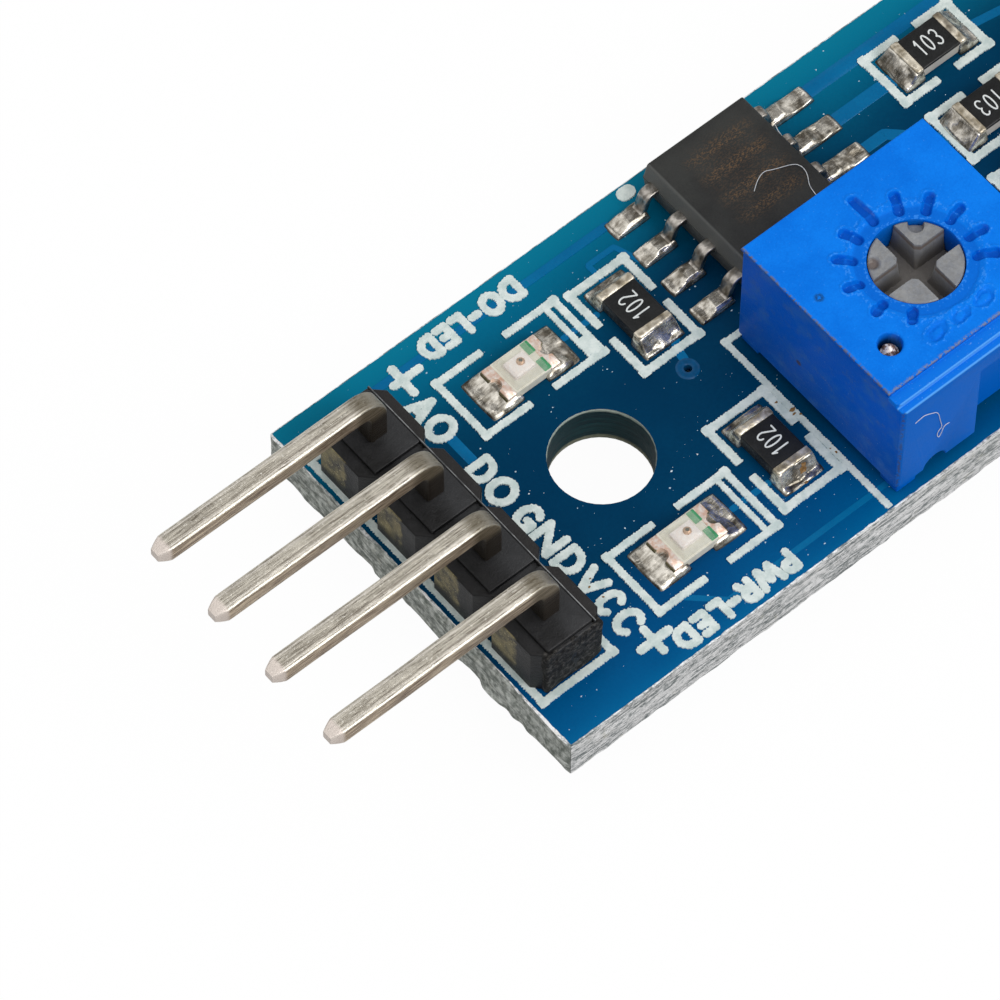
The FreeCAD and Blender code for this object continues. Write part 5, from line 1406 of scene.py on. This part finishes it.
# %% Rotor
ROTOR_R, HEAD_Z, SLOT_DEEP = 1.39, 6.385, 1.0
FLANGE_R, FLANGE_LOW, FLANGE_HIGH = 2.45, node_box("trimmer_rotor")[0][2], 5.19
rotor_grey = Finish("rotor_plastic", "rotor_grey", "9d9a98", 0.4)
rotor_z = rotor_grey.axes()[2]
rotor_grain = rotor_grey.noise(0.07, 3.0, 0.6)
rotor_cloud = rotor_grey.noise(0.5, 3.0, 0.6, 3.0)
rotor_grey.coats(
    rotor_grey.tint((rotor_cloud * 0.7 + rotor_grain * 0.3).ramp(0.3, 0.7), "7c8087", "959697"),
    # Painted shade: the rotor is painted darker down in the slot.
    (rotor_z.ramp(6.3, 5.45) * 0.85, "5a544d"),
    (rotor_grey.noise(0.05, 2.0, 0.5, 8.0).ramp(0.72, 0.78) * 0.7, "3a332c"),
    (rotor_z.ramp(6.355, 6.27) * rotor_z.ramp(6.15, 6.2) * 0.8, "6b5a50"),
    (rotor_grey.noise(0.11, 3.0, 0.65, 14.0).ramp(0.35, 0.7) * 0.35, "6f6b66"))
rotor_grey.feed("Roughness", 0.34 + rotor_grain * 0.2)
rotor_grey.bump(rotor_grain * 0.5 + rotor_cloud, 0.02)


def head_height(u, v):
    """Height of the head over u, v from its axis. The arms' walls lean from the floor to the top, and each
    wedge's tip is cut square, so both are soft steps of a distance."""
    reach = np.hypot(u, v)
    wall = np.minimum(np.abs(u), np.abs(v))
    tip = (np.abs(u) + np.abs(v)) / math.sqrt(2)
    lean = np.minimum(np.clip((wall - 0.245) / 0.085, 0, 1), np.clip((tip - 0.36) / 0.21, 0, 1))
    up = np.where(lean < 1, lean * 0.55 + 0.45 * lean ** 3, 1.0)
    height = HEAD_Z - SLOT_DEEP * (1 - up)
    height -= 0.03 * soft_step(reach, ROTOR_R - 0.05, ROTOR_R)
    notch = capsule(u, v, (0.80, 0.93), (1.3, 1.5))
    height = np.minimum(height, HEAD_Z - 0.24 * (1 - soft_step(notch, 0.19, 0.25)))
    dimple = np.hypot(u + 0.98, v - 0.78)
    height -= 0.15 * (1 - soft_step(dimple, 0.08, 0.28)) * (up > 0.9)
    return height + 0.006 * rough(u * 4, v * 4, 3)


HEAD_STEPS = 181
disc_x, disc_y = disc_grid(ROTOR_R, HEAD_STEPS)
head = np.stack([AXIS_X + disc_x, AXIS_Y + disc_y, head_height(disc_x, disc_y)], -1).reshape(-1, 3)
TURNED = [
    (ROTOR_R - 0.004, 6.35), (ROTOR_R, 6.3), (ROTOR_R, FLANGE_HIGH + 0.04), (ROTOR_R + 0.04, FLANGE_HIGH),
    (FLANGE_R - 0.05, FLANGE_HIGH), (FLANGE_R, FLANGE_HIGH - 0.05), (FLANGE_R, FLANGE_LOW + 0.05),
    (FLANGE_R - 0.05, FLANGE_LOW), (0.05, FLANGE_LOW)]
angle = circle(120)
head_rim = head_height(ROTOR_R * np.cos(angle), ROTOR_R * np.sin(angle))
skirt = []
for radius, height in TURNED:
    beside_head = 1 < radius < ROTOR_R + 0.01
    skirt.append(turned_row(AXIS, radius, angle, np.minimum(height, head_rim) if beside_head else height))
skirt_faces = weave(len(TURNED), len(angle), closed=True, flip=True)
rotor = join([(head, weave(HEAD_STEPS, HEAD_STEPS)), (np.array(skirt).reshape(-1, 3), skirt_faces)])
put("rotor_head", rotor, rotor_grey, body="rotor", stands_for=("trimmer_rotor",), tidy=False, smooth=40)
spring = mottled("contact_spring", "contact_metal", 0.3, 0.3, "a88149", "dfc08a", metal=1.0, detail=3.0)
dressed("wiper_spring", "trimmer_wiper", spring, 0.01, body="rotor")
print("rotor head from", head[:, 2].min(), "to", head[:, 2].max())

# %% Inside and under the trimmer
film = mottled("resistive_film", "element_track", 0.5, 0.25, "1d1a17", "3a352f", detail=3.0)
dressed("trimmer_film", "trimmer_element", film, 0.01)
# Painted shade: the blue base is painted dark grey, as it sits in the shade under the walls.
base_blue = mottled("trimmer_floor", "trimmer_blue", 0.6, 0.8, "2a323b", "4a5560", detail=3.0)
dressed("trimmer_floor", "trimmer_base", base_blue, 0.03)
pin_wire = mottled("tinned_wire", "pin_metal", 0.22, (0.1, 0.1, 0.5), "a39d92", "f0ede6", metal=1.0,
                   detail=3.0, wild=0.6, span=(0.3, 0.7), deep=0.02)
for number in (1, 2, 3):
    dressed("trimmer_wire_%d" % number, "trimmer_pin_%d" % number, pin_wire, 0.05)
# Painted highlight: the pin's end is painted near white in patches, with little metal, to stand for its
# glint.
wire_end = mottled("wire_end", "pin_metal", 0.3, 0.12, "8a6a58", "fff4ea", metal=0.1, span=(0.42, 0.55))
DOME_R, DOME_STEPS = 0.27, 41
x, y = disc_grid(DOME_R, DOME_STEPS)
dome_z = 6.06 + 0.22 * (1 - (x * x + y * y) / 0.073) + 0.04 * rough(x * 9, y * 9, 4)
dome = np.stack([EYE_X + x, EYE_Y + y, dome_z], -1)
put("pin_end_in_eye", (dome.reshape(-1, 3), weave(DOME_STEPS, DOME_STEPS)), wire_end, tidy=False, smooth=60)
print("wire's end in the eye, height", dome_z.min(), "to", dome_z.max())

# %% [markdown]
# ## Capacitor and sensor
# The multilayer capacitor is a solid brown ceramic block with the same dipped ends as the resistors. The
# sensor is a pressed ceramic disc with two flats; a film of light-sensitive material is laid on it in a
# serpentine between two combs, under a clear lacquer, and two wires run from it to the board.

# %% Capacitor
brown = mottled("capacitor_ceramic", "capacitor_ceramic", 0.4, 0.07, "856748", "b08d66", detail=3.0,
                wild=0.6, deep=0.01)
chip = block((CAP_X, CAP_Y), 0.95, 0.60, 0.06, soft_levels(TOP + 0.06, TOP + 0.87, 0.06, 0.04))
put("capacitor_block", chip, brown, stands_for=("capacitor_body",))
ends = join([wrapped_end(side, seed, tall=0.85, run=0.42) for side, seed in ((-1, 560), (1, 570))])
put("capacitor_ends", turn_plan(ends, CAP_X, CAP_Y), tinned, stands_for=("capacitor_caps",), smooth=50)

# %% Sensor
ceramic = Finish("sensor_ceramic", "sensor_ceramic", "e6d9c0", 0.35, Coat_Weight=0.4)
ceramic_grain = ceramic.noise(0.1, 3.0, 0.6)
ceramic_cloud = ceramic.noise(1.2, 3.0, 0.6, 4.0)
ceramic.coats(ceramic.tint(ceramic_grain * 0.4 + ceramic_cloud * 0.6, "d3bf9c", "f3ead6"))
ceramic.bump(ceramic_grain * 0.4 + ceramic_cloud, 0.02)
dressed("sensor_body", "sensor_disc", ceramic, 0.18, segments=4)
cell = mottled("sensor_film", "sensor_film", 0.35, 0.08, "82301a", "b9532c", detail=3.0, wild=0.6,
               deep=0.01, Coat_Weight=0.5)
dressed("sensor_serpentine", "sensor_track", cell, 0.015)


def wander_wire(name, node, seed):
    """A wire in place of a CAD node: a small circle carried up a line that leans and sways a little, with a
    cut lower end."""
    low, high = node_box(node)
    x, y = (low + high)[:2] / 2
    z = np.linspace(low[2], high[2], 40)
    sway_x, sway_y = 0.02 * rough(z * 0.6, 0.3, seed), 0.02 * rough(z * 0.6, 0.7, seed + 1)
    path = np.column_stack([x + sway_x, y + sway_y, z])
    scale = np.interp(z, [low[2], low[2] + 0.06, high[2]], [0.8, 1.0, 1.0])
    wire = along(path, ring_of((high[0] - low[0]) / 2, 20), scale=scale)
    put(name, wire, pin_wire, stands_for=(node,), smooth=50)


for number in (1, 2):
    wander_wire("sensor_wire_%d" % number, "sensor_lead_%d" % number, 700 + number)

# %% Joints on the underside
def turned_joint(x, y, core, radius, seed, tall=0.7):
    """Solder round a wire: rings from the pad down the wire, hollow in between, with a wandering
    outline."""
    angle = circle(48)
    rings = []
    for share in np.linspace(0, 1, 15):
        wander = 1 + 0.07 * rough(angle * 1.9, share * 2.5 + seed, seed) * (1 - share * 0.6)
        reach = (core + (radius - core) * (1 - share) ** 2.1) * wander
        depth = tall * share * (1 + 0.05 * rough(angle * 1.3, 3.3, seed + 1) * share)
        rings.append(turned_row((x, y), reach, angle, -depth))
    return stack(rings)


cones = [turned_joint(PIN_X, row_y, 0.36, 0.9, 720 + i) for i, row_y in enumerate(PIN_ROWS)]
put("header_joints", join(cones), solder, stands_for=("header_solder",), smooth=60)
WIRE_JOINTS = [
    ("trimmer_solder", "trimmer_joints", 0.26, ("trimmer_pin_1", "trimmer_pin_2", "trimmer_pin_3")),
    ("sensor_solder", "sensor_joints", 0.24, ("sensor_lead_1", "sensor_lead_2"))]
for node, label, core, wires in WIRE_JOINTS:
    cones = []
    for index, wire in enumerate(wires):
        low, high = node_box(wire)
        middle = (low + high) / 2
        cones.append(turned_joint(middle[0], middle[1], core, 0.82, 740 + index * 3))
    put(label, join(cones), solder, stands_for=(node,), smooth=60)
print("underside joints done")

# %% [markdown]
# ## Dust and lint
# The board in the photograph isn't clean: pale specks lie on the mask and the lid, brown crumbs of flux sit
# by the joints, and two white fibres are caught on the comparator and its leads. A speck is a tiny uneven
# cone; a fibre is a thin ring carried along a bent path.

# %% Dust and lint
pale_dust = mottled("pale_dust", "solder_mask", 0.8, 0.6, "6fa9c8", "f2f6f5")
flux_crumb = mottled("flux_crumb", "solder", 0.6, 0.08, "4a3118", "a67c3f")
lint = mottled("lint", "solder_mask", 0.7, 0.2, "c9cfd1", "ffffff")
SPECK_TRIES = 900


def speck(x, y, z, size, dice):
    """An uneven cone: six corners at random distances from the middle, which stands a third of size
    higher."""
    turns = np.arange(6) * math.pi / 3 + dice.uniform(-0.4, 0.4, 6)
    reach = size * dice.uniform(0.5, 1.0, 6) * np.where(np.arange(6) % 3 == 0, dice.uniform(0.8, 1.7), 1.0)
    ring = turned_row((x, y), reach, turns, z - 0.004)
    return np.vstack([ring, [[x, y, z + size * 0.33]]]), [[k, (k + 1) % 6, 6] for k in range(6)]


dice = np.random.RandomState(5)
specks = []
for number in range(SPECK_TRIES):
    x, y = [dice.uniform(low + 0.2, high - 0.2) for low, high in zip(BOARD_LOW[:2], BOARD_HIGH[:2])]
    if math.hypot(x, y) > HOLE_RADIUS + 0.1:
        specks.append(speck(x, y, TOP, 0.015 + 0.034 * dice.uniform() ** 3, dice))
put("dust_specks", join(specks), pale_dust, tidy=False)
ON_SOLDER = TOP + 0.05
CRUMBS = [(3.97, -4.30, 0.15, 2.12), (4.06, -4.16, 0.09, 2.13), (3.88, -4.52, 0.07, 1.8)]
CRUMBS += [(x, y, size, ON_SOLDER) for x, y, size in (
    (5.05, -1.88, 0.06), (5.25, -2.36, 0.10), (5.18, -2.50, 0.07), (5.33, -2.62, 0.05), (5.27, -4.25, 0.06),
    (5.22, -4.05, 0.04), (-3.1, -3.1, 0.06), (-2.9, -2.9, 0.04), (-3.0, -3.6, 0.05))]
put("flux_crumbs", join([speck(x, y, z, size, dice) for x, y, size, z in CRUMBS]), flux_crumb, tidy=False)


def fibre_line(corners, radius=0.011):
    """A thin ring carried along a path whose corners are bent."""
    return along(rounded_path(corners, 0.3, 9), ring_of(radius, 6))


loop = [(8.62, 3.29, 3.20), (8.97, 3.54, 3.19), (9.28, 3.62, 3.24), (9.54, 3.50, 3.19), (10.14, 3.26, 3.22),
        (10.25, 3.02, 3.24), (10.21, 2.74, 3.21), (9.98, 2.41, 3.2), (9.93, 2.04, 3.19)]
short = [(11.18, 5.25, 1.95), (11.12, 4.9, 1.80), (11.2, 4.5, 1.78), (11.1, 4.2, 1.95)]
curl = [(6.09, -6.50, 5.25), (6.23, -6.52, 5.35), (6.44, -6.51, 5.35), (6.68, -6.53, 5.21),
        (6.9, -6.51, 5.02), (7.02, -6.50, 4.77), (7.08, -6.52, 4.37), (7.2, -6.51, 3.92),
        (7.05, -6.50, 3.79), (7.01, -6.51, 3.61), (7.09, -6.52, 3.42), (7.17, -6.53, 3.65),
        (7.25, -6.52, 3.91), (7.47, -6.51, 3.85)]
put("lint_fibres", join([fibre_line(loop), fibre_line(short, 0.014), fibre_line(curl)]), lint, tidy=False)
print("specks", len(specks), "crumbs", len(CRUMBS))

# %% [markdown]
# ## Floor and light
# The board lies on its pins' tails over a white ground. A camera ray sees that ground as white with the
# soft shadow left in it, while other rays meet a greyer one, so it doesn't flood the side walls. Polished
# metal shows what is round it, so the sky that mirror rays meet has a dark card where flat faces would
# reflect it, as in a light tent.

# %% Floor
FLOOR_HALF = 1500.0 * MM
SIGNS = ((-1, -1), (1, -1), (1, 1), (-1, 1))
floor_mesh = bpy.data.meshes.new("ground")
floor_corners = [(x * FLOOR_HALF, y * FLOOR_HALF, PIN_FOOT * MM) for x, y in SIGNS]
floor_mesh.from_pydata(floor_corners, [], [(0, 1, 2, 3)])
ground = bpy.data.objects.new("ground", floor_mesh)
bpy.context.collection.objects.link(ground)
white = Finish("ground", "", "ffffff", 1.0, Specular_IOR_Level=0.0)
lit, gleam, through = [white.node("ShaderNodeLightPath", output=ray)
                       for ray in ("Is Camera Ray", "Is Glossy Ray", "Is Transmission Ray")]
white.coats(white.tint(lit, "8a8a8a", "fdfdfd"))
glow = white.tree.nodes.new("ShaderNodeEmission")
glow.inputs["Strength"].default_value = 1.0
blend = white.tree.nodes.new("ShaderNodeMixShader")
white.tree.links.new((lit * 0.97 + gleam * 0.55 + through * 0.97).socket, blend.inputs[0])
white.tree.links.new(white.shader.outputs[0], blend.inputs[1])
white.tree.links.new(glow.outputs[0], blend.inputs[2])
white.tree.links.new(blend.outputs[0], white.tree.nodes["Material Output"].inputs[0])
floor_mesh.materials.append(white.material)

# %% Sky
HORIZON, ZENITH = 0.35, 0.95
MIRROR, PANEL = (0.329, 0.385, 0.862), (0.30, -0.55, 0.78)
world = bpy.data.worlds.new("light_tent")
bpy.context.scene.world = world
world.use_nodes = True


class Sky(Finish):
    """The world's graph, written with the same arithmetic."""

    def __init__(self, tree):
        self.tree = tree


sky = Sky(world.node_tree)
way = sky.axes(sky.node("ShaderNodeTexCoord", output="Generated"))
toward_mirror, toward_panel = [way[0] * to[0] + way[1] * to[1] + way[2] * to[2] for to in (MIRROR, PANEL)]
card, panel = toward_mirror.ramp(0.90, 0.975), toward_panel.ramp(0.80, 0.92)
soft_sky = way[2].ramp(-0.05, 1.0) * (ZENITH - HORIZON) + HORIZON
hard_sky = (0.16 + way[2].ramp(0.15, 0.8) * 0.75 + panel * 1.5) * (1 - card * 0.85)
mirror_ray = sky.node("ShaderNodeLightPath", output="Is Glossy Ray")
strength = soft_sky * (1 - mirror_ray) + hard_sky * mirror_ray
background = world.node_tree.nodes["Background"]
background.inputs["Color"].default_value = (1.0, 1.0, 1.0, 1.0)
world.node_tree.links.new(strength.socket, background.inputs["Strength"])
print("sky from", HORIZON, "to", ZENITH)

# %% Lamp
KEY_ELEVATION, KEY_AZIMUTH, KEY_FAR, KEY_SIZE, KEY_POWER = 42.0, -78.0, 0.35, 0.22, 0.42
LIT_PLACE = (8.0, 0.0, 2.0)
lamp_data = bpy.data.lights.new("key_panel", "AREA")
lamp_data.shape = "DISK"
lamp_data.size = KEY_SIZE
lamp_data.energy = KEY_POWER
lamp = bpy.data.objects.new("key_panel", lamp_data)
bpy.context.collection.objects.link(lamp)
tall, round_way = math.radians(KEY_ELEVATION), math.radians(KEY_AZIMUTH)
back = np.array(
    [math.cos(tall) * math.cos(round_way), math.cos(tall) * math.sin(round_way), math.sin(tall)])
right = np.cross((0, 0, 1), back)
right /= np.linalg.norm(right)
up = np.cross(back, right)
spot = np.array(LIT_PLACE) * MM + back * KEY_FAR
lamp.matrix_world = Matrix([[right[i], up[i], back[i], spot[i]] for i in range(3)] + [[0, 0, 0, 1]])
print("lamp at", [round(v, 3) for v in spot])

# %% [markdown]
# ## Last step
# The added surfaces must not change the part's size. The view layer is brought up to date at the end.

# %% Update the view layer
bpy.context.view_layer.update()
